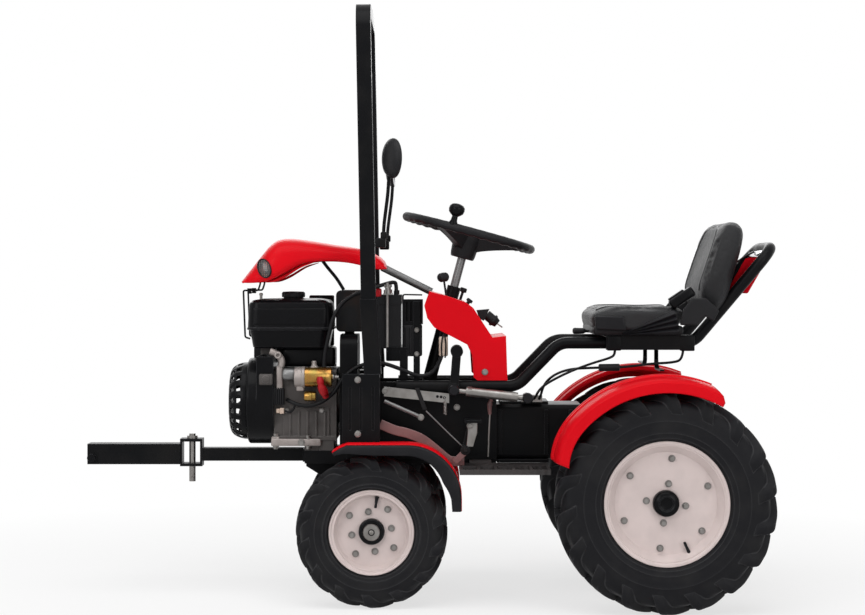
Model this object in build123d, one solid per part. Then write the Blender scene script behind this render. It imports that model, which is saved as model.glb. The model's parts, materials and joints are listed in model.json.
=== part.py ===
from build123d import *
import os
from math import asin, atan2, cos, degrees, pi, radians, sin, sqrt

# Mini tractor, millimetres. X points forward, Y to the left, Z up, and the tyres stand on Z = 0.

# Wheels: names read across, front then rear
FRONT_AXLE_X = 155.0
REAR_AXLE_X = -622.0
FRONT_HALF_TRACK = 247.0
REAR_HALF_TRACK = 350.0
FRONT_TYRE_R = 204.0
REAR_TYRE_R = 293.0
FRONT_TYRE_W = 100.0
REAR_TYRE_W = 130.0
FRONT_BEAD_R = 101.6
REAR_BEAD_R = 152.4
FRONT_BEAD_W = 68.0
REAR_BEAD_W = 92.0
FRONT_LUG_H = 13.0
REAR_LUG_H = 19.0
FRONT_LUGS = 14
REAR_LUGS = 18
LUG_ANGLE = 45.0
LUG_SHARE = 0.31
LUG_WRAP = 18.0
LUG_FOOT = 8.0
SIDE_RELIEF = 4.0
TYRE_SIDES = 20
FLANGE_H = 13.0
RIM_WALL = 4.0
DISC_DEPTH = 26.0
NOSE_R = 34.0
NOSE_OUT = 14.0

# Running clearance of shafts, and the gap left between curved faces
RUN = 0.08
GAP = 0.3

# Steering: a parallelogram of equal arms
KINGPIN_Y = 180.0
KINGPIN_R = 9.0
SPINDLE_R = 12.0
KNUCKLE_ARM = 100.0
TIE_LUG = 50.0
BALL_PIN_R = 6.0
YOKE_HALF = 45.0
YOKE_T = 13.0
ARM_W = 14.0
COLUMN_TILT = 15.0
COLUMN_FOOT = (-61.0, 0.0, 828.0)
WHEEL_UP = 190.0
WHEEL_RIM_R = 180.0
WHEEL_GRIP_R = 13.5
COLUMN_SHAFT_R = 12.0

# Frame
RAIL_FRONT = 345.0
RAIL_REAR = -185.0
RAIL_IN = 60.0
RAIL_OUT = 100.0
RAIL_LOW = 372.0
RAIL_TOP = 408.0
SHEET = 5.0
PLATE_TOP = 598.0
POST_TOP = 828.0
BRACKET_X = (134.0, 235.0)
BRACKET_Y = (186.0, 234.0)
FRONT_FENDER_ROOM = 32.0
BRACKET_LOW = 2 * FRONT_TYRE_R + FRONT_FENDER_ROOM
BRACKET_Z = (BRACKET_LOW, BRACKET_LOW + 185.0)
HOOP_TOP = 1634.0
HOOP_Y = 210.0
HOOP_TUBE = 40.0
HOOP_FOOT_X = 165.0
HOOP_LEAN = 1.07

# Seat tubes
TUBE_R = 16.0
TUBE_Y = 143.0
TUBE_LOW = 588.0
TUBE_ABOVE_TYRE = 121.0
TUBE_HIGH = 2 * REAR_TYRE_R + TUBE_ABOVE_TYRE
TUBE_RISE = -722.0
SLIDE_DROP = 18.0
TUBE_END = (-942.0, TUBE_HIGH + 261.0)

# Engine
CRANK_Z = 540.0
ENGINE_REAR = 257.0
ENGINE_FOOT_TOP = 436.0
CASE_HALF = 96.0
CASE_TOP = 632.0
FINS = 7
FIN_PITCH = 16.0
FIN_WALL = 6.0
SHROUD_X = (430.0, 507.0)
SHROUD_R = 120.0
GUARD_FRONT = 558.0
GUARD_WALL = 3.0
GUARD_SLOTS = 20
TANK_X = 386.0
TANK_SEAM = 744.0
TANK_L = 232.0
TANK_W = 204.0
TANK_UPPER = 80.0
TANK_TAPER = 9.0

# Drive line
SHAFT_Y = -55.0
SHAFT_Z = 470.0
SHAFT_R = 11.0

PARTS = {}


def block(x, y, z):
    """Box between two corners, each side given as (low, high)."""
    centre = Pos(sum(x) / 2, sum(y) / 2, sum(z) / 2)
    return centre * Box(x[1] - x[0], y[1] - y[0], z[1] - z[0])


def rod(start, end, radius):
    """Round bar between two points."""
    axis = Vector(*end) - Vector(*start)
    return Plane(origin=start, z_dir=axis) * Cylinder(
        radius, axis.length, align=(Align.CENTER, Align.CENTER, Align.MIN)
    )


def plate(points, y):
    """Outline in side view, given as (X, Z), extruded across Y."""
    outline = Polyline(*[(px, y[0], pz) for px, pz in points], close=True)
    return extrude(make_face(outline), amount=y[1] - y[0], dir=(0, 1, 0))


def bent_tube(points, radius, bend):
    """Round tube along a polyline with rounded corners."""
    path = FilletPolyline(*points, radius=bend)
    return sweep(Plane(origin=path @ 0, z_dir=path % 0) * Circle(radius), path=path)


def turned(points):
    """Profile given as (radius, Y) turned about the Y axis."""
    return revolve(make_face(Polyline(*points, close=True)), Axis.Y)


def mirrored(shape):
    """The same shape on the other side of the tractor."""
    return mirror(shape, about=Plane.XZ)


def gathered(*shapes):
    """Separate solids kept in one piece list."""
    return Compound([solid for shape in shapes for solid in shape.solids()])


def both_sides(shape):
    """Left piece and its mirror image."""
    return gathered(shape, mirrored(shape))


# Wheels


def polygons(stations):
    """Solid with flat sides through many-sided sections, each given as (radius to the flats, Y)."""
    turns = [2 * pi * k / TYRE_SIDES for k in range(TYRE_SIDES)]
    stretch = 1 / cos(pi / TYRE_SIDES)
    rings = [[(r * stretch * cos(t), y, r * stretch * sin(t)) for t in turns] for r, y in stations]
    outlines = [rings[0], rings[-1]]
    for low, high in zip(rings, rings[1:]):
        outlines += [[low[k - 1], low[k], high[k], high[k - 1]] for k in range(TYRE_SIDES)]
    return Solid(Shell([make_face(Polyline(*outline, close=True)).face() for outline in outlines]))


def carcass(base_r, shoulder_r, wide_r, half, crown, bead_r, bead_w):
    """Tyre body with flat facets: tread, sloping shoulders, dished sides and a bead between the flanges."""
    flange_r = bead_r + FLANGE_H + 1
    body = polygons([(shoulder_r, -half), (base_r, -crown), (base_r, crown), (shoulder_r, half)])
    slope = (wide_r - flange_r) / (half - bead_w / 2)
    for side in (-1, 1):
        body -= polygons([(flange_r, side * bead_w / 2), (wide_r + slope, side * (half + 1))])
    return body - polygons([(bead_r, -half - 1), (bead_r, half + 1)])


def lug_bar(outer_r, low, shoulder_r, half, crown, thick):
    """Slanting bar from the middle of the tread over the shoulder and down the side, for the left half,
    standing at the top of the tyre. Its flat top has its far corners on the outer radius."""
    lean = radians(LUG_ANGLE)
    start = -thick / 4
    reach = (crown / cos(lean) - start) * sin(lean) / 2 + thick / 2 * cos(lean)
    top = sqrt(outer_r**2 - reach**2)
    drop = (top - shoulder_r) / (half - crown)
    over = half + thick
    side_low = shoulder_r - LUG_WRAP
    outline = [
        (start, low),
        (start + SIDE_RELIEF, top),
        (crown / cos(lean), top),
        (over / cos(lean), top - drop * (over - crown)),
        (over / cos(lean), side_low),
        ((half - 3 * SIDE_RELIEF) / cos(lean), side_low),
        (crown / cos(lean) - thick / 2, low),
    ]
    face = make_face(Polyline(*[(0, along, z) for along, z in outline], close=True))
    bar = Rot(0, 0, LUG_ANGLE) * extrude(face, amount=thick / 2, dir=(1, 0, 0), both=True)
    middle = (crown / cos(lean) + start) * sin(lean) / 2
    bar = Pos(middle, 0, 0) * bar & block((-outer_r, outer_r), (-half, half), (0, outer_r))
    return bar, degrees(asin(reach / outer_r))


def tyre(outer_r, width, bead_r, bead_w, lug_h, lugs):
    """Tyre with herringbone bars, the halves half a pitch apart, one corner at the lowest point."""
    base_r = outer_r - lug_h
    shoulder_r = outer_r - 0.2 * (outer_r - bead_r)
    wide_r = bead_r + 0.42 * (outer_r - bead_r)
    half = width / 2
    crown = 0.36 * width
    thick = LUG_SHARE * 2 * pi * outer_r / lugs * cos(radians(LUG_ANGLE))
    bar, corner = lug_bar(outer_r, base_r - LUG_FOOT, shoulder_r, half, crown, thick)
    body = carcass(base_r, shoulder_r - SIDE_RELIEF, wide_r, half - SIDE_RELIEF, crown, bead_r, bead_w)
    pitch = 360 / lugs
    first = 180 + corner
    bars = [Rot(0, first + k * pitch, 0) * bar for k in range(lugs)]
    bars += [Rot(0, first + (k + 0.5) * pitch, 0) * mirrored(bar) for k in range(lugs)]
    return body + bars


def rim(bead_r, bead_w):
    """Barrel with two flanges and a dished disc."""
    seat_r = bead_r - 0.2
    inner_r = seat_r - RIM_WALL
    flange_r = bead_r + FLANGE_H
    edge = bead_w / 2
    face = edge - DISC_DEPTH
    barrel = turned(
        [
            (inner_r, -edge - RIM_WALL),
            (flange_r, -edge - RIM_WALL),
            (flange_r, -edge),
            (seat_r, -edge),
            (seat_r, edge),
            (flange_r, edge),
            (flange_r, edge + RIM_WALL),
            (inner_r, edge + RIM_WALL),
        ]
    )
    disc = turned(
        [
            (NOSE_R + 1, face - RIM_WALL),
            (inner_r - 10, face - RIM_WALL),
            (inner_r, face + 8),
            (inner_r, face + 14),
            (inner_r - 12, face),
            (NOSE_R + 1, face),
        ]
    )
    return barrel + disc


def hub(bead_w, inner_y, flange_r, bore_r):
    """Hub behind the disc, with a flange and a nose through the disc's hole."""
    back = bead_w / 2 - DISC_DEPTH - RIM_WALL
    front = bead_w / 2 - DISC_DEPTH + NOSE_OUT
    return turned(
        [
            (bore_r, inner_y),
            (NOSE_R - 6, inner_y),
            (NOSE_R - 6, back - 9),
            (flange_r, back - 9),
            (flange_r, back),
            (NOSE_R, back),
            (NOSE_R, front),
            (bore_r, front),
        ]
    )


FRONT_WHEEL = Pos(FRONT_AXLE_X, FRONT_HALF_TRACK, FRONT_TYRE_R)
REAR_WHEEL = Pos(REAR_AXLE_X, REAR_HALF_TRACK, REAR_TYRE_R)
FRONT_NOSE_Y = FRONT_BEAD_W / 2 - DISC_DEPTH + NOSE_OUT
REAR_NOSE_Y = REAR_BEAD_W / 2 - DISC_DEPTH + NOSE_OUT
FRONT_HUB_BACK = -26.0
REAR_HUB_BACK = -48.0
AXLE_SHAFT_R = 15.0
AXLE_TUBE_R = 34.0
AXLE_TUBE_END = REAR_HALF_TRACK + REAR_HUB_BACK - 6


def front_hub():
    """Front hub running on the spindle, closed by a cap."""
    shell = hub(FRONT_BEAD_W, FRONT_HUB_BACK, 66, SPINDLE_R + RUN)
    low, high = FRONT_NOSE_Y, FRONT_NOSE_Y + 9
    cap = turned([(0, low), (NOSE_R - 11, low), (NOSE_R - 13, high), (0, high)])
    return FRONT_WHEEL * (shell + cap)


def rear_hub():
    """Rear hub in one piece with its half shaft."""
    shell = hub(REAR_BEAD_W, REAR_HUB_BACK, 72, AXLE_SHAFT_R)
    shaft = rod((0, 90 - REAR_HALF_TRACK, 0), (0, REAR_NOSE_Y - 4, 0), AXLE_SHAFT_R)
    return REAR_WHEEL * (shell + shaft)


LEFT_WHEELS = {
    "front_tyre": FRONT_WHEEL
    * tyre(FRONT_TYRE_R, FRONT_TYRE_W, FRONT_BEAD_R, FRONT_BEAD_W, FRONT_LUG_H, FRONT_LUGS),
    "front_rim": FRONT_WHEEL * rim(FRONT_BEAD_R, FRONT_BEAD_W),
    "front_hub": front_hub(),
    "rear_tyre": REAR_WHEEL
    * tyre(REAR_TYRE_R, REAR_TYRE_W, REAR_BEAD_R, REAR_BEAD_W, REAR_LUG_H, REAR_LUGS),
    "rear_rim": REAR_WHEEL * rim(REAR_BEAD_R, REAR_BEAD_W),
    "rear_hub": rear_hub(),
}
for wheel_name, wheel_shape in LEFT_WHEELS.items():
    PARTS[wheel_name + "_left"] = wheel_shape
    PARTS[wheel_name + "_right"] = mirrored(wheel_shape)

# Front axle and steering

AXLE_Z = FRONT_TYRE_R
BOSS_R = 19.0
BEAM_HALF = 20.0
LUG_LOW = AXLE_Z + YOKE_HALF + GAP
ARM_TOP = LUG_LOW + YOKE_T
EYE_LOW = ARM_TOP + GAP
EYE_H = 18.0
TIE_X = FRONT_AXLE_X - KNUCKLE_ARM
STEER_X = TIE_X - TIE_LUG + KNUCKLE_ARM
PIVOT_R = 10.0


def front_axle():
    """Square beam with a kingpin boss at each end and a cross hole for its pivot."""
    beam = block(
        (FRONT_AXLE_X - BEAM_HALF, FRONT_AXLE_X + BEAM_HALF),
        (-KINGPIN_Y, KINGPIN_Y),
        (AXLE_Z - BEAM_HALF, AXLE_Z + BEAM_HALF),
    )
    for side in (-1, 1):
        low = (FRONT_AXLE_X, side * KINGPIN_Y, AXLE_Z - YOKE_HALF)
        high = (FRONT_AXLE_X, side * KINGPIN_Y, AXLE_Z + YOKE_HALF)
        beam -= block(
            (FRONT_AXLE_X - 40, FRONT_AXLE_X + 40),
            (side * KINGPIN_Y - 8, side * KINGPIN_Y + 8),
            (AXLE_Z - 40, AXLE_Z + 40),
        )
        beam += rod(low, high, BOSS_R)
        beam -= rod(low, high, KINGPIN_R + RUN)
    hole = rod((FRONT_AXLE_X - 50, 0, AXLE_Z), (FRONT_AXLE_X + 50, 0, AXLE_Z), PIVOT_R + RUN)
    return beam - hole


def knuckle():
    """Yoke over and under the kingpin boss, with kingpin, spindle, arm and ball pin."""
    web_in = KINGPIN_Y + BOSS_R + 3
    web = (web_in, web_in + 10)
    shape = block((FRONT_AXLE_X - 22, FRONT_AXLE_X + 22), web, (AXLE_Z - YOKE_HALF - 13, ARM_TOP))
    for z in ((LUG_LOW, ARM_TOP), (AXLE_Z - YOKE_HALF - 13, AXLE_Z - YOKE_HALF - GAP)):
        shape += block((FRONT_AXLE_X - 16, FRONT_AXLE_X + 16), (KINGPIN_Y, web_in), z)
        shape += rod((FRONT_AXLE_X, KINGPIN_Y, z[0]), (FRONT_AXLE_X, KINGPIN_Y, z[1]), 16)
    shape += rod((FRONT_AXLE_X, KINGPIN_Y, AXLE_Z - 50), (FRONT_AXLE_X, KINGPIN_Y, AXLE_Z + 50), KINGPIN_R)
    arm_y = (KINGPIN_Y - ARM_W / 2, KINGPIN_Y + ARM_W / 2)
    shape += block((TIE_X, FRONT_AXLE_X), arm_y, (LUG_LOW, ARM_TOP))
    shape += rod((TIE_X, KINGPIN_Y, LUG_LOW), (TIE_X, KINGPIN_Y, ARM_TOP), 12)
    shape += rod((TIE_X, KINGPIN_Y, LUG_LOW), (TIE_X, KINGPIN_Y, EYE_LOW + EYE_H + 4), BALL_PIN_R)
    tip = FRONT_HALF_TRACK + FRONT_NOSE_Y - 1
    shape += rod((FRONT_AXLE_X, web_in, AXLE_Z), (FRONT_AXLE_X, tip, AXLE_Z), SPINDLE_R)
    return shape


def tie_rod():
    """Round bar between two eyes, with a lug for the steering arm's pin."""
    middle = EYE_LOW + EYE_H / 2
    shape = rod((TIE_X, -KINGPIN_Y, middle), (TIE_X, KINGPIN_Y, middle), 8)
    pin_x = TIE_X - TIE_LUG
    shape += block((pin_x, TIE_X), (-12, 12), (middle - 6, middle + 6))
    for x, y in ((TIE_X, -KINGPIN_Y), (TIE_X, KINGPIN_Y), (pin_x, 0)):
        shape += rod((x, y, EYE_LOW), (x, y, EYE_LOW + EYE_H), 13)
        shape -= rod((x, y, EYE_LOW - 1), (x, y, EYE_LOW + EYE_H + 1), BALL_PIN_R + RUN)
    return shape


def steering_arm():
    """Arm under the steering gear, on a vertical shaft, with the tie rod's middle pin."""
    pin_x = STEER_X - KNUCKLE_ARM
    shape = block((pin_x, STEER_X), (-ARM_W / 2, ARM_W / 2), (LUG_LOW, ARM_TOP))
    shape += rod((STEER_X, 0, LUG_LOW), (STEER_X, 0, ARM_TOP), 14)
    shape += rod((pin_x, 0, LUG_LOW), (pin_x, 0, ARM_TOP), 12)
    shape += rod((pin_x, 0, LUG_LOW), (pin_x, 0, EYE_LOW + EYE_H + 4), BALL_PIN_R)
    return shape + rod((STEER_X, 0, LUG_LOW), (STEER_X, 0, RAIL_TOP + 2), 10)


LEAN = radians(COLUMN_TILT)
COLUMN = Plane(origin=COLUMN_FOOT, x_dir=(0, 1, 0), z_dir=(-sin(LEAN), 0, cos(LEAN)))
GEAR_TOP = 446.0
COLUMN_LOW = -(COLUMN_FOOT[2] - GEAR_TOP) / cos(LEAN)


def steering_gear():
    """Gear case on its frame plate, bored for the arm's shaft."""
    case = block((38, STEER_X + 30), (-34, 34), (RAIL_LOW + 8, GEAR_TOP - 14))
    case += block((38, 84), (-26, 26), (RAIL_LOW + 8, GEAR_TOP - 2))
    return case - rod((STEER_X, 0, RAIL_LOW), (STEER_X, 0, RAIL_TOP + 3), 10 + RUN)


def steering_column():
    """Column tube from the gear case up to the collar over the dash, in one piece with the case."""
    tube = Cylinder(19, 34 - COLUMN_LOW, align=(Align.CENTER, Align.CENTER, Align.MIN))
    bore = Cylinder(COLUMN_SHAFT_R + RUN, 240, align=(Align.CENTER, Align.CENTER, Align.MIN))
    shape = COLUMN * (Pos(0, 0, COLUMN_LOW) * tube) - COLUMN * (Pos(0, 0, -180) * bore)
    return shape + steering_gear()


def steering_wheel():
    """Rim, three webbed spokes, hub, shaft and a spinner knob."""
    shape = Pos(0, 0, WHEEL_UP) * Torus(WHEEL_RIM_R, WHEEL_GRIP_R)
    shape += Pos(0, 0, WHEEL_UP - 40) * Cylinder(36, 70)
    spoke = make_face(
        Polyline((0, 0, -62), (0, 34, -62), (0, 120, -18), (0, 176, -9), (0, 176, 7), (0, 0, 2), close=True)
    )
    web = extrude(spoke, amount=12, dir=(1, 0, 0), both=True)
    for turn in (0, 120, 240):
        shape += Pos(0, 0, WHEEL_UP) * Rot(0, 0, turn) * web
    foot = (Align.CENTER, Align.CENTER, Align.MIN)
    shape += Pos(0, 0, -150) * Cylinder(COLUMN_SHAFT_R, WHEEL_UP + 100, align=foot)
    knob = Cylinder(7, 44, align=(Align.CENTER, Align.CENTER, Align.MIN)) + Pos(0, 0, 44) * Sphere(17)
    return COLUMN * (shape + Rot(0, 0, -16) * Pos(WHEEL_RIM_R, 0, WHEEL_UP) * knob)


PARTS["front_axle"] = front_axle()
PARTS["knuckle_left"] = knuckle()
PARTS["knuckle_right"] = mirrored(knuckle())
PARTS["tie_rod"] = tie_rod()
PARTS["steering_arm"] = steering_arm()
PARTS["steering_column"] = steering_column()
PARTS["steering_wheel"] = steering_wheel()

# Frame


def main_frame():
    """Two box rails, cross plates, the axle's cheeks with gussets, and its pivot pin."""
    rail = block((RAIL_REAR, RAIL_FRONT), (RAIL_IN, RAIL_OUT), (RAIL_LOW, RAIL_TOP))
    rail -= block((RAIL_REAR, RAIL_FRONT), (RAIL_IN + 4, RAIL_OUT - 4), (RAIL_LOW + 4, RAIL_TOP - 4))
    shape = rail + mirrored(rail)
    shape += block((RAIL_FRONT - 8, RAIL_FRONT), (-RAIL_IN, RAIL_IN), (RAIL_LOW, RAIL_TOP))
    shape += block((38, 200), (-RAIL_IN, RAIL_IN), (RAIL_LOW, RAIL_LOW + 8))
    shape -= rod((STEER_X, 0, RAIL_LOW - 1), (STEER_X, 0, RAIL_TOP), 15)
    for x in (FRONT_AXLE_X - BEAM_HALF - 9, FRONT_AXLE_X + BEAM_HALF + 1):
        shape += block((x, x + 8), (-36, 36), (AXLE_Z - 26, RAIL_LOW))
    shape += rod((FRONT_AXLE_X - 36, 0, AXLE_Z), (FRONT_AXLE_X + 36, 0, AXLE_Z), PIVOT_R)
    toe = FRONT_AXLE_X + BEAM_HALF + 9
    gusset = plate(
        [(RAIL_FRONT, RAIL_LOW + 8), (RAIL_FRONT, 358), (300, 330), (toe, 232), (toe, RAIL_LOW + 8)], (24, 30)
    )
    shape += gusset + mirrored(gusset)
    shape += block((toe, RAIL_FRONT), (-RAIL_IN, RAIL_IN), (RAIL_LOW, RAIL_LOW + 8))
    rear = block((RAIL_REAR, RAIL_REAR + 8), (-RAIL_OUT, RAIL_OUT), (RAIL_LOW, 530))
    rear -= rod((RAIL_REAR - 1, SHAFT_Y, SHAFT_Z), (RAIL_REAR + 9, SHAFT_Y, SHAFT_Z), 24)
    return shape + rear


def side_plates():
    """Sheet sides above the rails, with legs, the battery tray and the regulator on its upright."""
    outline = [(RAIL_REAR, 385), (230, 385), (230, PLATE_TOP), (RAIL_REAR, PLATE_TOP)]
    side = plate(outline, (RAIL_OUT, RAIL_OUT + SHEET))
    for x in (62, 138):
        side += block((x, x + 20), (RAIL_OUT, RAIL_OUT + SHEET), (PLATE_TOP, 690))
    tray = block((58, 162), (-RAIL_OUT - SHEET, RAIL_OUT + SHEET), (690, 694))
    upright = block((26, 44), (RAIL_OUT, RAIL_OUT + SHEET), (PLATE_TOP, 820))
    regulator = block((18, 72), (RAIL_OUT - 26, RAIL_OUT), (757, 826))
    for x in (24, 36, 48, 60):
        regulator -= block((x, x + 6), (RAIL_OUT - 14, RAIL_OUT), (764, 819))
    return side + mirrored(side) + tray + upright + regulator


def roll_bracket():
    """Ribbed channel carried by two arms from the side plate."""
    x0, x1 = BRACKET_X
    shape = block(BRACKET_X, BRACKET_Y, BRACKET_Z)
    inside_z = (BRACKET_Z[0] + 5, BRACKET_Z[1] - 5)
    shape -= block((x0 + 5, x1 - 5), (BRACKET_Y[0] - 1, BRACKET_Y[1] - 6), inside_z)
    for x in (152, 185, 214):
        groove_z = (BRACKET_Z[0] + 34, BRACKET_Z[1] - 34)
        shape -= block((x - 3, x + 3), (BRACKET_Y[1] - 3, BRACKET_Y[1] + 1), groove_z)
    for z in (BRACKET_Z[0] + 5, BRACKET_Z[1] - 45):
        shape += block((174, 214), (RAIL_OUT + SHEET, BRACKET_Y[1] - 6), (z, z + 40))
    return shape


def roll_posts():
    """Leaning square posts between the brackets and the hoop, in one piece with the brackets."""
    half = HOOP_TUBE / 2 + 3
    foot = HOOP_FOOT_X - 12
    outline = [
        (foot - half, BRACKET_Z[1]),
        (foot + half, BRACKET_Z[1]),
        (HOOP_FOOT_X + half, POST_TOP),
        (HOOP_FOOT_X - half, POST_TOP),
    ]
    return both_sides(roll_bracket() + plate(outline, (HOOP_Y - half, HOOP_Y + half)))


def roll_hoop():
    """Square tube hoop with rounded top corners, leaning a little forward."""
    height = HOOP_TOP - HOOP_TUBE / 2 - POST_TOP
    path = FilletPolyline(
        (0, -HOOP_Y, -20), (0, -HOOP_Y, height), (0, HOOP_Y, height), (0, HOOP_Y, -20), radius=58
    )
    tube = sweep(Plane(origin=path @ 0, z_dir=path % 0) * Rectangle(HOOP_TUBE, HOOP_TUBE), path=path)
    tube = Pos(HOOP_FOOT_X, 0, POST_TOP) * Rot(0, HOOP_LEAN, 0) * tube
    return tube & block((0, 400), (-400, 400), (POST_TOP, 2000))


def mirrors():
    """Clamp on the hoop, two stalks and an oval head, on each side."""
    shape = block((116, 147.4), (205, 236), (966, 994))
    shape += bent_tube([(123, 228, 990), (120, 236, 1040), (104, 256, 1190)], 5, 30)
    head = extrude(Ellipse(56, 55), amount=20, taper=24)
    head = Pos(104, 262, 1206) * Rot(0, 0, 24) * Rot(0, 90, 0) * Rot(0, 0, 90) * Pos(0, 0, -6) * head
    return both_sides(shape + head)


def front_bar():
    """Bar from the frame's front plate to an open ring for the locking pin."""
    shape = block((RAIL_FRONT, 637), (-20, 20), (RAIL_LOW, RAIL_TOP))
    shape += block((RAIL_FRONT, RAIL_FRONT + 8), (-50, 50), (RAIL_LOW, RAIL_TOP))
    ring = block((637, 699), (-24, 24), (357, 434))
    ring -= block((643, 693), (-30, 30), (365, 426))
    return shape + ring - rod((667, 0, 340), (667, 0, 450), 9 + RUN)


def front_bar_tube():
    """Larger square tube ahead of the ring, with a stub pin across its tip."""
    shape = block((699, 958), (-28, 28), (363, 420))
    return shape + rod((945, 28, 382), (945, 46, 382), 11)


def hitch_pin():
    """Locking pin through the ring, with a collar and a handle."""
    shape = rod((667, 0, 313), (667, 0, 447), 9) + rod((667, 0, 434), (667, 0, 441), 15)
    return shape + rod((667, -26, 322), (667, 26, 322), 5)


PARTS["main_frame"] = main_frame()
PARTS["side_plates"] = side_plates()
PARTS["roll_posts"] = roll_posts()
PARTS["roll_hoop"] = roll_hoop()
PARTS["mirrors"] = mirrors()
PARTS["front_bar"] = front_bar()
PARTS["front_bar_tube"] = front_bar_tube()
PARTS["hitch_pin"] = hitch_pin()

# Engine


def engine_mounts():
    """Two feet across the rails and two brackets under the tank."""
    shape = block((300, 340), (-60, 60), (632, TANK_SEAM - 54))
    shape += block((434, 470), (-60, 60), (668, TANK_SEAM - 54))
    for x in (264, RAIL_FRONT - 40):
        shape += block((x, x + 40), (-RAIL_OUT, RAIL_OUT), (RAIL_TOP, ENGINE_FOOT_TOP))
    return gathered(shape)


def cylinder():
    """Finned barrel, leaning to the right."""
    shape = block((-48, 48), (-150, 0), (-48, 48))
    for k in range(FINS):
        y = -34 - k * FIN_PITCH
        shape += block((-60, 60), (y - FIN_WALL, y), (-60, 60))
    return Pos(330, -60, 560) * Rot(-25, 0, 0) * shape


def crankcase():
    """Cast case with a base flange, a ribbed side cover, a rear bearing boss and the sloping cylinder."""
    case = block((ENGINE_REAR, SHROUD_X[0]), (-CASE_HALF, CASE_HALF), (ENGINE_FOOT_TOP, CASE_TOP))
    case = fillet(case.edges().filter_by(Axis.X), 10)
    flange = CASE_HALF + 8
    case += block((ENGINE_REAR, SHROUD_X[0]), (-flange, flange), (ENGINE_FOOT_TOP, ENGINE_FOOT_TOP + 12))
    case += block((276, 404), (CASE_HALF - 6, CASE_HALF + 4), (ENGINE_FOOT_TOP + 12, 526))
    for x in (286, 310, 334, 358, 382):
        case += block((x, x + 5), (CASE_HALF, CASE_HALF + 8), (ENGINE_FOOT_TOP + 12, 516))
    case += rod((ENGINE_REAR - 8, 0, CRANK_Z), (ENGINE_REAR, 0, CRANK_Z), 62)
    return case + cylinder()


def fan_housing():
    """Round housing over the flywheel with a rounded front edge and a flat shoulder under the tank."""
    shape = rod((SHROUD_X[0], 0, CRANK_Z), (SHROUD_X[1], 0, CRANK_Z), SHROUD_R)
    shape = fillet(shape.faces().sort_by(Axis.X)[-1].edges(), 8)
    return shape + block((SHROUD_X[0], SHROUD_X[1] - 30), (-SHROUD_R, SHROUD_R), (CRANK_Z, 668))


def recoil_guard():
    """Dished cover ahead of the flywheel, hollow, with slots round its slope and its face."""
    deep = GUARD_FRONT - SHROUD_X[1]
    foot_r = SHROUD_R - 12
    outline = [
        (0, deep),
        (74, deep),
        (92, deep - 8),
        (foot_r, 0),
        (foot_r - GUARD_WALL, 0),
        (92 - GUARD_WALL, deep - 8 - GUARD_WALL),
        (74, deep - GUARD_WALL),
        (0, deep - GUARD_WALL),
    ]
    cover = revolve(make_face(Polyline(*[(r, 0, x) for r, x in outline], close=True)), Axis.Z)
    for k in range(GUARD_SLOTS):
        turn = Rot(0, 0, k * 360 / GUARD_SLOTS)
        cover -= turn * block((80, SHROUD_R), (-5, 5), (8, deep - 18))
        cover -= turn * block((38, 66), (-4, 4), (deep - 10, deep + 1))
    return Plane(origin=(SHROUD_X[1], 0, CRANK_Z), z_dir=(1, 0, 0)) * cover


def fuel_tank():
    """Two pressed halves that taper from a seam flange, with a raised side panel and a screw cap."""
    outline = RectangleRounded(TANK_L, TANK_W, 40)
    upper = extrude(outline, amount=TANK_UPPER, taper=TANK_TAPER)
    upper = fillet(upper.faces().sort_by(Axis.Z)[-1].edges(), 16)
    lower = mirror(extrude(outline, amount=54, taper=12), about=Plane.XY)
    seam = extrude(RectangleRounded(TANK_L + 10, TANK_W + 10, 44), amount=2, both=True)
    lean = radians(TANK_TAPER)
    side = Plane(origin=(0, TANK_W / 2, 0), x_dir=(1, 0, 0), z_dir=(0, cos(lean), sin(lean)))
    panel = extrude(side * Pos(0, 34, -6) * RectangleRounded(TANK_L - 64, 46, 6), amount=9)
    cap = Pos(-4, 5, TANK_UPPER) * Cylinder(32, 44)
    return Pos(TANK_X, 5, TANK_SEAM) * (upper + lower + seam + panel + cap)


def starter_motor():
    """Starter with its smaller solenoid beneath, beside the crankcase."""
    motor = rod((266, 123.2, 612), (343, 123.2, 612), 27) + rod((343, 123.2, 612), (396, 123.2, 612), 24)
    solenoid = rod((292, 112, 566), (350, 112, 566), 15.5)
    return gathered(motor, solenoid)


def muffler():
    """Flat box with rounded ends and grooves across its top, above the cylinder."""
    shape = block((176, 262), (-180, 20), (734, 850))
    shape = fillet(shape.edges().filter_by(Axis.Y), 14)
    for k in range(6):
        y = -160 + k * 30
        shape -= block((192, 246), (y, y + 12), (846, 851))
    return shape + bent_tube([(230, -128, 740), (230, -128, 600), (269.7, -128, 600)], 14, 22)


def air_cleaner():
    """Filter box on the right front of the engine."""
    shape = block((400, 505), (-240, -126), (640, 800))
    shape = fillet(shape.edges().filter_by(Axis.X), 20)
    return shape + block((434, 470), (-SHROUD_R - 10, -SHROUD_R), (644, 668))


def belt_case():
    """Closed case over the belts behind the engine."""
    shape = block((199, 248), (-98, 98), (RAIL_TOP, 727))
    shape = fillet(shape.edges().filter_by(Axis.X).sort_by(Axis.Z)[-2:], 40)
    return shape


def drive_shaft():
    """Shaft from the belt case to the gearbox, with a joint at each end."""
    shape = rod((199, SHAFT_Y, SHAFT_Z), (RAIL_REAR, SHAFT_Y, SHAFT_Z), SHAFT_R)
    for x in (150, -150):
        shape += rod((x, SHAFT_Y, SHAFT_Z), (x + 36, SHAFT_Y, SHAFT_Z), 19)
    return shape


PARTS["engine_mounts"] = engine_mounts()
PARTS["crankcase"] = crankcase()
PARTS["fan_housing"] = fan_housing()
PARTS["recoil_guard"] = recoil_guard()
PARTS["fuel_tank"] = fuel_tank()
PARTS["starter_motor"] = starter_motor()
PARTS["muffler"] = muffler()
PARTS["air_cleaner"] = air_cleaner()
PARTS["belt_case"] = belt_case()
PARTS["drive_shaft"] = drive_shaft()

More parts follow.
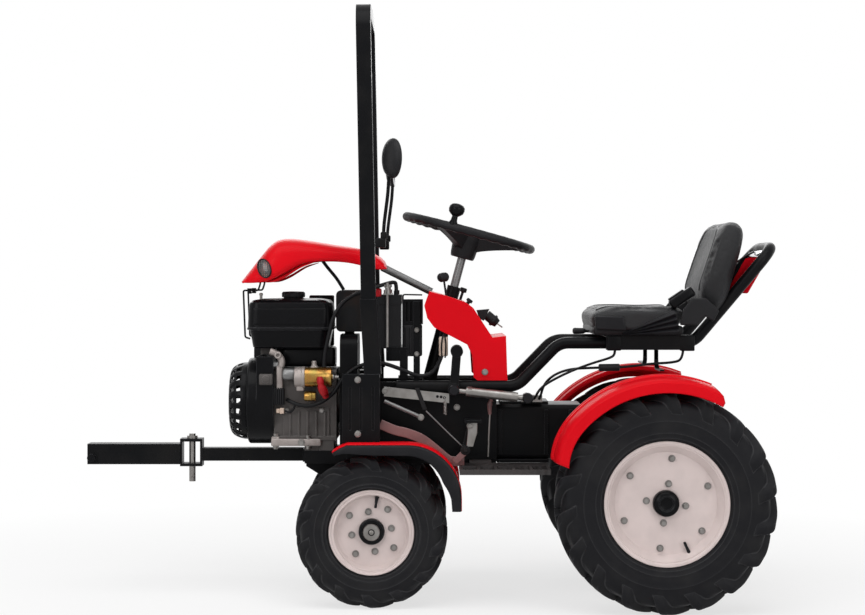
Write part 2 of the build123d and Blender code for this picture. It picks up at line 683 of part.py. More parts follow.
# Hood, dash and battery

HOOD_WALL = 4.0
HOOD_FOOT = 858.0
# Columns: X, top, half width, radius of the upper corners
HOOD_ARCHES = [
    (118.0, 913.0, 90.0, 24.0),
    (150.0, 946.0, 96.0, 40.0),
    (196.0, 966.0, 103.0, 46.0),
    (300.0, 983.0, 116.0, 50.0),
    (385.0, 994.0, 130.0, 50.0),
    (436.0, 979.0, 134.0, 40.0),
    (478.0, 932.0, 125.0, 26.0),
    (526.0, 874.0, 104.0, 10.0),
]
HOOD_MID = (HOOD_ARCHES[5][0], HOOD_ARCHES[5][2])
HOOD_NOSE = (HOOD_ARCHES[7][0], HOOD_ARCHES[7][2])
LAMP_X = 454.0
LAMP_Z = 911.0
LAMP_YAW = degrees(atan2(HOOD_MID[1] - HOOD_NOSE[1], HOOD_NOSE[0] - HOOD_MID[0]))


STAY_Y = 70.0
STAY_R = 3.0


def hood_body(inset, foot):
    """Cover ruled between arches: upright sides and a flat top joined by round corners."""
    arches = []
    for x, top, half, corner in HOOD_ARCHES:
        along = inset if x == HOOD_ARCHES[0][0] else -inset if x == HOOD_ARCHES[-1][0] else 0
        high, side, turn = top - inset, half - inset, corner - inset
        bow = turn * (1 - cos(pi / 4))
        right = [(-side, foot), (-side, high - turn), (bow - side, high - bow), (turn - side, high)]
        left = [(-y, z) for y, z in reversed(right)]
        a, b, c, d, e, f, g, h = [(x + along, y, z) for y, z in right + left]
        corners = [ThreePointArc(b, c, d), ThreePointArc(e, f, g)]
        arches.append(make_face([Line(a, b), Line(d, e), Line(g, h), Line(h, a)] + corners))
    return loft(arches, ruled=True)


def hood_skirt():
    """Side view of what the hood covers above its curved lower edge."""
    lower = [
        Line((110, 0, 909), (140, 0, 908)),
        ThreePointArc((140, 0, 908), (220, 0, 927), (300, 0, 931)),
        ThreePointArc((300, 0, 931), (360, 0, 920), (410, 0, 890)),
        Line((410, 0, 890), (436, 0, 872)),
        Line((436, 0, 872), (530, 0, 871)),
    ]
    upper = Polyline((530, 0, 871), (530, 0, 1000), (110, 0, 1000), (110, 0, 909))
    return extrude(make_face(lower + upper.edges()), amount=200, dir=(0, 1, 0), both=True)


def lamp_place():
    """Plane on the hood's left cheek at the lamp, facing outward."""
    slope = (HOOD_MID[1] - HOOD_NOSE[1]) / (HOOD_NOSE[0] - HOOD_MID[0])
    y = HOOD_MID[1] - slope * (LAMP_X - HOOD_MID[0])
    yaw = radians(LAMP_YAW)
    return Plane(origin=(LAMP_X, y, LAMP_Z), x_dir=(cos(yaw), -sin(yaw), 0), z_dir=(sin(yaw), cos(yaw), 0))


def lamp_body(grow):
    """Oval lamp, tilted, set in the cheek."""
    oval = Pos(0, 0, -16) * Rot(0, 0, 24) * Ellipse(17 + grow, 25 + grow)
    return lamp_place() * extrude(oval, amount=17)


def rail_tube(radius):
    """Tube from the hood's tail to the dash."""
    return rod((131, 0, 914), (9, 0, 853), radius)


def hood():
    """Thin cover, open below, with an oval hole for each lamp."""
    shape = hood_body(0, HOOD_FOOT) & hood_skirt()
    shape -= hood_body(HOOD_WALL, HOOD_FOOT - 20)
    hole = lamp_body(GAP)
    return shape - hole - mirrored(hole) - rail_tube(11 + GAP)


def headlamps():
    """Two oval lamps in the hood's cheeks."""
    return both_sides(lamp_body(0))


def hood_stays():
    """Wire stays at the front, a strap strut behind them and the tube to the dash."""
    line = [(498, 716), (513, 722), (518, 849), (474, 849), (470, 933.05)]
    wire = bent_tube([(x, STAY_Y, z) for x, z in line], STAY_R, 2 * STAY_R)
    strut = plate([(234.5, 850.2), (248.5, 850.2), (340, 983.9), (325, 981.95)], (-5, 5))
    return gathered(wire, mirrored(wire), strut, rail_tube(11))


DASH_HALF = 150.0
DASH_SHEET = 3.0
DASH_FOOT = TUBE_LOW + TUBE_R + 0.2
DASH_TOP = [(0, 848.5), (-46, 836), (-98, 819), (-120, 803), (-173, 722)]
DASH_OUTLINE = DASH_TOP + [
    (-210, 726),
    (-214, DASH_FOOT),
    (-131, DASH_FOOT),
    (-121, DASH_FOOT + 9),
    (-117, 674),
    (-104, 702),
    (-13, 749.5),
    (6, 775),
    (14, 809),
]


def dash_console():
    """Folded sheet console: two cheeks, a sloping top and a knee panel, open in front and below."""
    shape = plate(DASH_OUTLINE, (-DASH_HALF, DASH_HALF))
    inside = make_face(Polyline(*[(x, -DASH_HALF + DASH_SHEET, z) for x, z in DASH_OUTLINE], close=True))
    cavity = extrude(offset(inside, -DASH_SHEET), amount=2 * (DASH_HALF - DASH_SHEET), dir=(0, 1, 0))
    shape -= cavity
    shape -= Pos(6, 0, -8) * cavity
    return shape - COLUMN * Pos(0, 0, -100) * Cylinder(19 + GAP, 300)


def dash_controls():
    """Knobs on short rods on the dash top, and the key switch on its slope, each square to its sheet."""
    shape = Part()
    # Columns: stretch of the dash top, share along it, Y, stem length, its radius, knob length, its radius
    table = [
        (0, 0.75, 92, 34, 3, 24, 10),
        (2, 0.3, 118, 8, 5, 10, 9),
        (1, 0.8, -90, 24, 4, 12, 10),
        (3, 0.36, 92, 18, 9, 30, 15),
    ]
    for stretch, share, y, stem, stem_r, knob, knob_r in table:
        (x0, z0), (x1, z1) = DASH_TOP[stretch], DASH_TOP[stretch + 1]
        run = Vector(x1 - x0, 0, z1 - z0)
        out = Vector(0, 1, 0).cross(run).normalized()
        foot = Vector(x0, y, z0) + run * share + out * GAP
        neck = foot + out * stem
        shape += rod(tuple(foot), tuple(neck), stem_r) + rod(tuple(neck), tuple(neck + out * knob), knob_r)
    return gathered(shape)


BATTERY_TOP = 838.0
BATTERY_POSTS = (-40.0, 80.0)


def battery():
    """Battery box with a wider lid and two posts."""
    shape = block((79, 143), (-60, 100), (694, 812))
    shape += block((77, 145), (-62, 102), (812, BATTERY_TOP))
    for y in BATTERY_POSTS:
        shape += rod((92, y, BATTERY_TOP), (92, y, BATTERY_TOP + 12), 7)
    return shape


def battery_clamp():
    """Bar over the battery with two rods to the tray."""
    shape = block((104, 128), (-78, 118), (838, 842))
    rods = [rod((116, y, 694), (116, y, 872), 4) for y in (-70, 110)]
    nuts = [rod((116, y, 842), (116, y, 852), 10) for y in (-70, 110)]
    return shape + rods + nuts


PARTS["hood"] = hood()
PARTS["headlamps"] = headlamps()
PARTS["hood_stays"] = hood_stays()
PARTS["dash_console"] = dash_console()
PARTS["dash_controls"] = dash_controls()
PARTS["battery"] = battery()
PARTS["battery_clamp"] = battery_clamp()

# Gearbox, rear axle and drawbar

GEARBOX_X = (-420.0, RAIL_REAR)
GEARBOX_HALF = 90.0


def gearbox():
    """Main case behind the frame, ribbed on its sides, with a top cover."""
    shape = block(GEARBOX_X, (-GEARBOX_HALF, GEARBOX_HALF), (382, 534))
    shape = fillet(shape.edges().filter_by(Axis.X), 14)
    for x in (GEARBOX_X[0] + 24, GEARBOX_X[0] + 92, GEARBOX_X[1] - 16):
        shape += block((x, x + 10), (-GEARBOX_HALF - 7, GEARBOX_HALF + 7), (396, 520))
    return shape + block((-330, -196), (-70, 70), (534, 542))


def rear_axle():
    """Final drive case with an axle tube to each side."""
    shape = block((-735, GEARBOX_X[0]), (-75, 75), (200, 430))
    shape = fillet(shape.edges().filter_by(Axis.Y), 40)
    ends = ((REAR_AXLE_X, -AXLE_TUBE_END, REAR_TYRE_R), (REAR_AXLE_X, AXLE_TUBE_END, REAR_TYRE_R))
    shape += rod(*ends, AXLE_TUBE_R)
    return shape - rod(*ends, AXLE_SHAFT_R + RUN) + drawbar()


def drawbar():
    """Clevis behind the axle case with a vertical pin hole."""
    shape = block((-755, -735), (-50, 50), (290, 390))
    for z in ((300, 314), (366, 380)):
        shape += block((-840, -755), (-30, 30), z)
        shape -= rod((-812, 0, z[0] - 1), (-812, 0, z[1] + 1), 11)
    return shape


PARTS["gearbox"] = gearbox()
PARTS["rear_axle"] = rear_axle()

# Seat


def seat_tubes():
    """One tube from the left side round the hoop behind the seat to the right side."""
    end_x, end_z = TUBE_END
    left = [(90, TUBE_LOW), (-240, TUBE_LOW), (-356, TUBE_HIGH), (TUBE_RISE, TUBE_HIGH), (end_x, end_z)]
    points = [(x, TUBE_Y, z) for x, z in left] + [(x, -TUBE_Y, z) for x, z in reversed(left)]
    return bent_tube(points, TUBE_R, 60)


def seat_base():
    """Plate and slide bars on the tubes."""
    top = TUBE_HIGH + TUBE_R + GAP
    shape = block((-690, -482), (-185, 185), (top, top + 6))
    bar = block((-716, -482), (160, 185), (TUBE_HIGH - SLIDE_DROP, top + 6))
    return shape + bar + mirrored(bar)


SEAT_FLOOR = TUBE_HIGH + TUBE_R + GAP + 6


def seat_boot():
    """Pleated wedge under the cushion."""
    wedge = [(-505, 0), (-505, 8), (-700, 34), (-700, 0)]
    return plate([(x, SEAT_FLOOR + up) for x, up in wedge], (-160, 160))


def seat_cushion():
    """Cushion with a rounded front edge."""
    outline = [
        (-412, SEAT_FLOOR + 39),
        (-424, SEAT_FLOOR + 67),
        (-690, SEAT_FLOOR + 61),
        (-700, SEAT_FLOOR + 34),
        (-505, SEAT_FLOOR + 8),
        (-440, SEAT_FLOOR + 6),
    ]
    return plate(outline, (-215, 215)) + seat_boot()


def seat_back():
    """Back rest leaning rearward."""
    outline = [(-692, 71), (-789, 317), (-854, 309), (-753, 45), (-699.4, 37)]
    return plate([(x, SEAT_FLOOR + up) for x, up in outline], (-205, 205))


def tail_lamp():
    """Lamp on a plate inside the rear hoop."""
    lean = degrees(atan2(TUBE_END[1] - TUBE_HIGH, TUBE_RISE - TUBE_END[0]))
    return Pos(-880, 0, TUBE_HIGH + 193) * Rot(0, lean, 0) * Box(70, 2 * (TUBE_Y - TUBE_R - GAP), 22)


PARTS["seat_tubes"] = seat_tubes()
PARTS["seat_base"] = seat_base()
PARTS["seat_cushion"] = seat_cushion()
PARTS["seat_back"] = seat_back()

# Fenders, footrests and controls


REAR_FENDER_FRONT = 69.5
REAR_FENDER_TAIL = -29.5
REAR_FENDER_TOP_END = -21.5


def rear_fenders():
    """Arched section with two ribs, turned about the wheel's axle and cut aslant at the tail."""
    # Columns: height above the tyre, Y from its middle, then the step to the underside, down and across
    section = [
        (49, -80, 4, 0),
        (51, -55, 4, 0),
        (55, -51, 4, 1),
        (55, -38, 4, -1),
        (52, -34, 4, 0),
        (52, -14, 4, 0),
        (56, -10, 4, 1),
        (56, 2, 4, -1),
        (52, 6, 4, 0),
        (50, 22, 4, -1),
        (31, 74, 3, -3),
        (25, 80, 2, -3),
        (-1, 80, 0, -3),
    ]
    outer = [(REAR_TYRE_R + above, y) for above, y, _, _ in section]
    inner = [(REAR_TYRE_R + above - down, y + across) for above, y, down, across in reversed(section)]
    face = make_face(Polyline(*outer, *inner, close=True))
    arch = revolve(face, Axis.Y, REAR_FENDER_FRONT - REAR_FENDER_TAIL)
    arch = REAR_WHEEL * Rot(0, REAR_FENDER_TAIL - 90, 0) * arch
    cut = []
    for reach, angle in ((60, REAR_FENDER_TOP_END), (-4, REAR_FENDER_TAIL)):
        turn = radians(angle)
        away = REAR_TYRE_R + reach
        cut.append((REAR_AXLE_X + away * sin(turn), REAR_TYRE_R + away * cos(turn)))
    cut += [(x - REAR_TYRE_R, z) for x, z in reversed(cut)]
    arch -= plate(cut, (REAR_HALF_TRACK - 90, REAR_HALF_TRACK + 90))
    stay_z = 2 * REAR_TYRE_R + 51.2
    stay = block((REAR_AXLE_X - 18, REAR_AXLE_X + 18), (138, 286), (stay_z, stay_z + 5))
    stay += block((REAR_AXLE_X - 18, REAR_AXLE_X + 18), (138, 148), (stay_z, TUBE_HIGH - TUBE_R - GAP))
    return gathered(arch, mirrored(arch), stay, mirrored(stay))


FENDER_TOP = BRACKET_LOW
FENDER_SHEET = 3.0
FENDER_REAR_ROOM = 35.0
FENDER_TAIL_X = FRONT_AXLE_X - FRONT_TYRE_R - FENDER_REAR_ROOM
FENDER_TAIL_UP = 60.0
FENDER_BEND = 118.0
FENDER_NOSE = ((70.0, 0.0), (103.0, -20.0))
STRAP_Y = (188.0, 193.0)
FENDER_Y = (STRAP_Y[1] + 5.0, 320.0)
EDGING_W = 18.0
EDGING_DEEP = 27.0


def fender_band(deep, y):
    """Band under the fender's line: short drop at the nose, flat top, round fall behind the wheel."""
    near, far = FENDER_NOSE
    faces = []
    for inset in (0, deep):
        tail = FENDER_TAIL_X + inset
        top = FENDER_TOP - inset
        bend = FENDER_BEND - inset
        centre = (tail + bend, top - bend)
        middle = (centre[0] - bend * cos(pi / 4), centre[1] + bend * sin(pi / 4))
        nose = (FRONT_AXLE_X + far[0], FENDER_TOP + far[1] - inset)
        shoulder = (FRONT_AXLE_X + near[0], top)
        foot = (tail, FRONT_TYRE_R + FENDER_TAIL_UP)
        faces.append([nose, shoulder, (centre[0], top), middle, (tail, centre[1]), foot])
    outer, inner = [[(px, y[0], pz) for px, pz in line] for line in faces]
    edges = [Line(outer[0], inner[0]), Line(outer[5], inner[5])]
    for line in (outer, inner):
        edges += [Line(line[0], line[1]), Line(line[1], line[2]), Line(line[4], line[5])]
        edges.append(ThreePointArc(*line[2:5]))
    return extrude(make_face(edges), amount=y[1] - y[0], dir=(0, 1, 0))


def front_fenders():
    """Thin sheet over each front wheel with a deep rubber edging along its outer side."""
    sheet = fender_band(FENDER_SHEET, FENDER_Y)
    return both_sides(sheet + fender_band(EDGING_DEEP, (FENDER_Y[1] - EDGING_W, FENDER_Y[1])))


FOOTREST_REAR = -323.0
FOOTREST_FRONT = FENDER_TAIL_X + 3.0
FOOTREST_Y = (115.0, 320.0)
FOOTREST_Z = (362.0, 376.0)
FOOTREST_EDGE = 8.0
STRAP_HALF = 13.0
STRAP_Z = FOOTREST_Z[1] + GAP + STRAP_HALF


def straps():
    """Curved flat straps from the roll brackets to the footrests."""
    start_z = BRACKET_LOW + 46
    rear = FOOTREST_FRONT - 14
    edges = []
    for up in (STRAP_HALF, -STRAP_HALF):
        points = [(BRACKET_X[0], start_z), (112, start_z), (62, start_z - 29)]
        points += [(12, STRAP_Z + 31), (-38, STRAP_Z), (rear, STRAP_Z)]
        a, b, c, d, e, f = [(px, STRAP_Y[0], pz + up) for px, pz in points]
        edges.append([Line(a, b), Line(b, c), Line(c, d), Line(d, e), Line(e, f)])
    upper, lower = edges
    ends = [Line(upper[0] @ 0, lower[0] @ 0), Line(upper[-1] @ 1, lower[-1] @ 1)]
    return both_sides(extrude(make_face(upper + lower + ends), amount=STRAP_Y[1] - STRAP_Y[0], dir=(0, 1, 0)))


def footrests():
    """Plates with a raised edge beside the gearbox, on brackets from the rails."""
    shape = block((FOOTREST_REAR, FOOTREST_FRONT), FOOTREST_Y, FOOTREST_Z)
    well = FOOTREST_Z[0] + 5
    for k in range(5):
        width = (FOOTREST_FRONT - FOOTREST_REAR - FOOTREST_EDGE) / 5
        low = FOOTREST_REAR + FOOTREST_EDGE + k * width
        well_y = (210, FOOTREST_Y[1] - FOOTREST_EDGE)
        shape -= block((low, low + width - FOOTREST_EDGE), well_y, (well, FOOTREST_Z[1]))
    shape += block((-170, -110), (RAIL_OUT, 140), (RAIL_LOW, RAIL_LOW + 12))
    return both_sides(shape)


PEDAL_X = FOOTREST_FRONT - 16.0


def pedals():
    """Levers on bosses above the footrests, each with a flat pad."""
    lever = [(11, 412), (-11, 408), (-29, 494), (-9, 498)]
    shape = plate([(PEDAL_X + dx, z) for dx, z in lever], (196, 204))
    shape += rod((PEDAL_X, 105, 418), (PEDAL_X, 210, 418), 13)
    shape += block((PEDAL_X - 43, PEDAL_X + 1), (180, 240), (494, 502))
    return both_sides(shape)


def rocker_arm():
    """Arm on a cross shaft below the dash."""
    shape = plate([(-87, 684), (-63, 684), (-55, 580), (-79, 580)], (164, 172))
    shape += rod((-75, 105, 684), (-75, 176, 684), 17)
    shape += rod((-67, 162, 580), (-67, 174, 580), 17)
    return shape


def control_link():
    """Adjusting link from the rocker arm to a bracket on the gearbox."""
    shape = rod((-67, 182, 579), (-268, 182, 557), 7) + rod((-100, 182, 575.5), (-240, 182, 560), 13)
    shape += rod((-67, 174, 580), (-67, 190, 580), 11)
    shape += rod((-268, 92, 557), (-268, 190, 557), 11)
    shape += block((-312, -254), (60, 100), (542, 560))
    return shape


def flat_bar():
    """Zinc bar on a pivot from the side plate."""
    shape = plate([(124, 588), (124, 562), (-54, 543), (-54, 569)], (160, 165))
    return shape + rod((112, RAIL_OUT + SHEET, 574), (112, 168, 574), 10)


SLIDE_LOW = TUBE_HIGH - SLIDE_DROP
CABLE_R = 3.5
LOOM_R = 5.5
BRAKE_CABLES = [
    [
        (-288, 100, 551),
        (-288, 132, 551),
        (-304, 166, 588),
        (-372, 180, 626),
        (-440, 181, 652),
        (-494, 174, 667),
        (-506, 172, 676),
        (-506, 172, SLIDE_LOW - GAP),
    ],
    [
        (-303, 100, 551),
        (-303, 128, 551),
        (-316, 156, 604),
        (-370, 166, 636),
        (-455, 166, 640),
        (-530, 168, 641),
        (-604, 170, 651),
        (-664, 171, 654),
        (-690, 172, 662),
        (-692, 172, SLIDE_LOW - GAP),
    ],
]
LOOMS = [
    [
        (290, 123.2, 639 + GAP),
        (290, 123.2, 668),
        (276, 132, 730),
        (262, 133, 786),
        (228, 131, 830),
        (172, 122, 852),
        (122, 98, 868),
        (98, 84, 874),
        (92, 80, 868),
        (92, 80, BATTERY_TOP + 12 + GAP),
    ],
    [
        (392, CASE_HALF, 548),
        (392, 116, 548),
        (350, 124, 531),
        (304, 125, 537),
        (262, 126, 568),
        (238, 126, 612),
        (196, 126, 644),
        (140, 126, 655),
        (82, 126, 636),
        (28, 126, 612),
        (-12, 126, 622),
        (-38, 125, 676),
        (-50, 122, 752),
        (-50, 120, 829),
    ],
]


def held_cable(points, radius):
    """Cable along straight runs, each corner an arc as large as its runs allow."""
    radii = []
    for a, b, c in zip(points, points[1:], points[2:]):
        before = Vector(*b) - Vector(*a)
        after = Vector(*c) - Vector(*b)
        half_turn = radians(before.get_angle(after)) / 2
        radii.append(0.45 * min(before.length, after.length) * cos(half_turn) / sin(half_turn))
    path = FilletPolyline(*points, radius=radii)
    return sweep(Plane(origin=path @ 0, z_dir=path % 0) * Circle(radius), path=path)


def brake_cables():
    """Two cables from the gearbox bracket to the seat slide, one with an adjuster."""
    adjuster = rod((-462, 166, 640), (-520, 167.7, 640.8), 10)
    return gathered(held_cable(BRAKE_CABLES[0], CABLE_R), held_cable(BRAKE_CABLES[1], CABLE_R) + adjuster)


PARTS["tail_lamp"] = tail_lamp()
PARTS["rear_fenders"] = rear_fenders()
PARTS["front_fenders"] = front_fenders()
PARTS["straps"] = straps()
PARTS["footrests"] = footrests()
PARTS["pedals"] = pedals()
PARTS["rocker_arm"] = rocker_arm()
PARTS["control_links"] = gathered(control_link(), flat_bar())
PARTS["brake_cables"] = brake_cables()
PARTS["wire_looms"] = gathered(*[held_cable(points, LOOM_R) for points in LOOMS])

os.makedirs("parts", exist_ok=True)
for part_name, part_shape in PARTS.items():
    export_step(part_shape, f"parts/{part_name}.step")
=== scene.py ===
"""Looks of a small open tractor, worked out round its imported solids."""

import json
from math import cos, pi, radians, sin, tau

import bmesh
import bpy
import numpy as np
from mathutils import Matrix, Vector
from mathutils.bvhtree import BVHTree

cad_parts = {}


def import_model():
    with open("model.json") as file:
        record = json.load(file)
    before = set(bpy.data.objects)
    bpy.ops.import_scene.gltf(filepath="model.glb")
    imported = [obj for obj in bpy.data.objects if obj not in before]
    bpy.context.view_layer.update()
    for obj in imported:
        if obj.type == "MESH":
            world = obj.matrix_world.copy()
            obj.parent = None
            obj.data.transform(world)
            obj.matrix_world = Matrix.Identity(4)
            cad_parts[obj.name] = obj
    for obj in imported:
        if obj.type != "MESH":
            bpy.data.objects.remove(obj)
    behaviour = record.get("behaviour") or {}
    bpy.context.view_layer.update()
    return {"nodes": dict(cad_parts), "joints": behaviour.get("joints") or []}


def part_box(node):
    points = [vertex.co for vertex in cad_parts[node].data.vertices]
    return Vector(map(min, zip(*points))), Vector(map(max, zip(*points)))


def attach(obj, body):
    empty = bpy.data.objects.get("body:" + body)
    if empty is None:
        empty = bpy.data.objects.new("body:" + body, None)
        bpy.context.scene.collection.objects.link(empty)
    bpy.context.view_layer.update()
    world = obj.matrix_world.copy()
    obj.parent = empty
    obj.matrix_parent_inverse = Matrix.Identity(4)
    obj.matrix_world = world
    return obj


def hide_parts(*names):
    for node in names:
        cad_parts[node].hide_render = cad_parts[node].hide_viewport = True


bl_info = {
    "name": "Mini tractor finish",
    "version": (1, 0, 0),
    "blender": (4, 5, 0),
    "location": "3D View > Sidebar > Tractor",
    "description": "Dresses the packed mini tractor with tyres, paint, padding and hardware",
    "category": "Object",
}

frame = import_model()
NODES = frame["nodes"]

# Shapes are worked out in millimetres, in the frame's axes: X forward, Y left, Z up
MM = 0.001
LEFT = np.array([0.0, 1.0, 0.0])
UP = np.array([0.0, 0.0, 1.0])
AHEAD = np.array([1.0, 0.0, 0.0])


def node_box(name):
    """Lowest and highest corner of a solid at rest, in millimetres."""
    low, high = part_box(name)
    return np.array(low) / MM, np.array(high) / MM


# Settings


def tone(name, description, default):
    """Colour in linear light."""
    return bpy.props.FloatVectorProperty(
        name=name, description=description, subtype="COLOR", size=3, min=0.0, max=1.0, default=default
    )


def length(name, description, default):
    """Length in metres."""
    return bpy.props.FloatProperty(name=name, description=description, unit="LENGTH", default=default)


class TractorColours(bpy.types.PropertyGroup):
    """Paint and trim colours."""

    red: tone("Body red", "Hood, dash and fenders", (0.73, 0.004, 0.011))
    black: tone("Frame black", "Powder coat of frame, hoop and axle", (0.0045, 0.0047, 0.0055))
    rim: tone("Rim enamel", "Wheel rims and discs", (0.66, 0.56, 0.54))
    rubber: tone("Tyre rubber", "Tyres and rubber edging", (0.0095, 0.0095, 0.0115))
    vinyl: tone("Seat vinyl", "Cushion and back rest", (0.0115, 0.0115, 0.0135))
    # strap colour: its own brown, with a pink tint that is a painted reflection of the red bodywork
    strap: tone("Strap paint", "Curved straps behind the front wheels", (0.19, 0.085, 0.082))
    gold: tone("Yellow zinc", "Starter and solenoid shells", (0.34, 0.155, 0.036))


class TractorSizes(bpy.types.PropertyGroup):
    """Sizes that a user would change."""

    front_lugs: bpy.props.IntProperty(name="Front lugs", description="Lugs on each side", default=14, min=6)
    rear_lugs: bpy.props.IntProperty(name="Rear lugs", description="Lugs on each side", default=18, min=6)
    front_lug_height: length("Front lug height", "Lug tip above the tread", 0.013)
    rear_lug_height: length("Rear lug height", "Lug tip above the tread", 0.019)
    hood_wall: length("Hood wall", "Thickness of the moulded hood", 0.004)
    fender_wall: length("Fender wall", "Thickness of the pressed fenders", 0.003)


class TractorStage(bpy.types.PropertyGroup):
    """Camera and floor."""

    camera_distance: length("Camera distance", "From the middle plane, on the left side", 5.6)
    camera_height: length("Camera height", "Above the floor", 0.893)
    camera_ahead: length("Camera place", "Along the tractor from its middle", -0.0085)
    focal: bpy.props.FloatProperty(name="Focal length", description="On a 36 mm wide sensor", default=82.82)
    rise: bpy.props.FloatProperty(name="Vertical shift", description="Share of the width", default=-0.0376)
    floor_radius: length("Floor radius", "Round pale floor", 9.0)


# Surfaces: each is an array of points and an array of four-cornered faces


def grid(points, wrap_rows=False, wrap_cols=False):
    """Faces between neighbours of one or more grids of points, joined end to end where they wrap."""
    rows, cols = points.shape[-3:-1]
    index = np.arange(rows * cols).reshape(rows, cols)
    if wrap_rows:
        index = np.vstack([index, index[:1]])
    if wrap_cols:
        index = np.hstack([index, index[:, :1]])
    faces = np.stack([index[:-1, :-1], index[:-1, 1:], index[1:, 1:], index[1:, :-1]], -1).reshape(-1, 4)
    grids = points.reshape(-1, rows * cols, 3)
    shift = np.arange(len(grids))[:, None, None] * rows * cols
    return grids.reshape(-1, 3), (faces[None] + shift).reshape(-1, 4)


def capped(points):
    """Grid of rings with a row added at each end that is drawn in to the ring's middle."""
    ends = points[..., [0, -1], :, :].mean(-2, keepdims=True) + 0 * points[..., [0, -1], :, :]
    return np.concatenate([ends[..., :1, :, :], points, ends[..., 1:, :, :]], -3)


def solid(points):
    """Closed skin through a grid of rings, with its two ends drawn in."""
    return grid(capped(points), wrap_cols=True)


def join(*surfaces):
    """Several surfaces as one."""
    shift = np.cumsum([0] + [len(points) for points, _ in surfaces[:-1]])
    faces = [face + start for (_, face), start in zip(surfaces, shift)]
    return np.vstack([points for points, _ in surfaces]), np.vstack(faces)


def copies(surface, places):
    """The surface moved to each place."""
    points, faces = surface
    places = np.atleast_2d(np.asarray(places, float))
    moved = (points[None] + places[:, None]).reshape(-1, 3)
    shift = np.arange(len(places))[:, None, None] * len(points)
    return moved, (faces[None] + shift).reshape(-1, 4)


def mirrored(surface):
    """The surface on the other side of the tractor."""
    points, faces = surface
    return points * (1, -1, 1), faces[:, ::-1]


def both_sides(surface):
    """The surface and its mirror image."""
    return join(surface, mirrored(surface))


def unit(vectors):
    """Vectors at length one."""
    return vectors / np.linalg.norm(vectors, axis=-1, keepdims=True)


def circle(steps):
    """Angles once round, in even steps."""
    return np.linspace(0, tau, steps, endpoint=False)


def flattened(wave, power):
    """Wave broadened by a power below one, its sign kept."""
    return np.sign(wave) * abs(wave) ** power


def basis(axis):
    """Two directions square to the axis and to each other, then the axis."""
    along = unit(np.asarray(axis, float))
    across = unit(np.cross(np.eye(3)[np.argmin(abs(along))], along))
    return across, np.cross(along, across), along


def smooth_line(points, count):
    """Curve through all the points: between two of them it is a cubic set by their neighbours."""
    p = np.asarray(points, float)
    p = np.vstack([2 * p[0] - p[1], p, 2 * p[-1] - p[-2]])
    t = np.linspace(0, len(points) - 1, count)
    i = np.minimum(t.astype(int), len(points) - 2)
    f = (t - i)[:, None]
    a, b, c, d = p[i], p[i + 1], p[i + 2], p[i + 3]
    return b + 0.5 * f * (c - a + f * (2 * a - 5 * b + 4 * c - d + f * (3 * (b - c) + d - a)))


def rounded_line(points, reach, steps=8):
    """Straight runs whose corners are parabolas that start and end at the given reach from the corner."""
    p = np.asarray(points, float)
    corner = p[1:-1]
    before = corner + unit(p[:-2] - corner) * np.reshape(reach, (-1, 1))
    after = corner + unit(p[2:] - corner) * np.reshape(reach, (-1, 1))
    t = np.linspace(0, 1, steps)[:, None, None]
    bends = (1 - t) ** 2 * before + 2 * t * (1 - t) * corner + t**2 * after
    return np.vstack([p[:1], bends.transpose(1, 0, 2).reshape(-1, p.shape[1]), p[-1:]])


def turned(profile, centre, axis, steps=64, wrap=False, ripple=(0, 0.0)):
    """Profile of (radius, distance along the axis) carried once round the axis through the centre; a
    ripple adds so many waves of that height to the radius."""
    profile = np.asarray(profile, float)
    angle = circle(steps)
    u, v, w = basis(axis)
    ring = np.cos(angle)[:, None] * u + np.sin(angle)[:, None] * v
    wave = ripple[1] * np.cos(ripple[0] * angle)
    radius = profile[:, :1] + wave * (profile[:, :1] > 0)
    points = np.asarray(centre, float) + radius[..., None] * ring + profile[:, 1][:, None, None] * w
    return grid(points, wrap_rows=wrap, wrap_cols=True)


def tube(path, radius, sides=12):
    """Circle carried along the path, square to it, with closed ends; the radius may change along it."""
    path = np.asarray(path, float)
    ahead = unit(np.gradient(path, axis=0))
    side = unit(np.cross(ahead, (0.31, 0.53, 0.79)))
    over = np.cross(side, ahead)
    angle = circle(sides)[:, None]
    ring = np.cos(angle) * side[:, None] + np.sin(angle) * over[:, None]
    radius = np.broadcast_to(radius, len(path))[:, None, None]
    return solid(path[:, None] + radius * ring)


def pipe(points, count, radius, sides=12):
    """Tube along the smooth curve through the points; the radius may be a pair of shares and radii there."""
    if np.ndim(radius) == 2:
        radius = np.interp(np.linspace(0, 1, count), *radius)
    return tube(smooth_line(points, count), radius, sides)


def slab(upper, lower, y):
    """Flat plate between two lines of (X, Z) in side view, from one Y to another."""
    upper, lower = np.asarray(upper, float), np.asarray(lower, float)
    lines = [(upper, y[0]), (upper, y[1]), (lower, y[1]), (lower, y[0])]
    edges = [np.column_stack([line[:, 0], np.full(len(line), side), line[:, 1]]) for line, side in lines]
    return solid(np.stack(edges, 1))


def band(line, y, thick):
    """Flat bar of one thickness whose middle follows a line of (X, Z) in side view."""
    line = np.asarray(line, float)
    run = unit(np.gradient(line, axis=0))
    out = np.column_stack([-run[:, 1], run[:, 0]]) * thick / 2
    return slab(line + out, line - out, y)


def corners(steps):
    """Angles of four quarter turns, and the signs of X and Y at the corner that each belongs to."""
    quarter = np.linspace(0, pi / 2, steps)
    turn = np.concatenate([quarter + k * pi / 2 for k in range(4)])
    return turn, np.repeat([1, -1, -1, 1], steps), np.repeat([1, 1, -1, -1], steps)


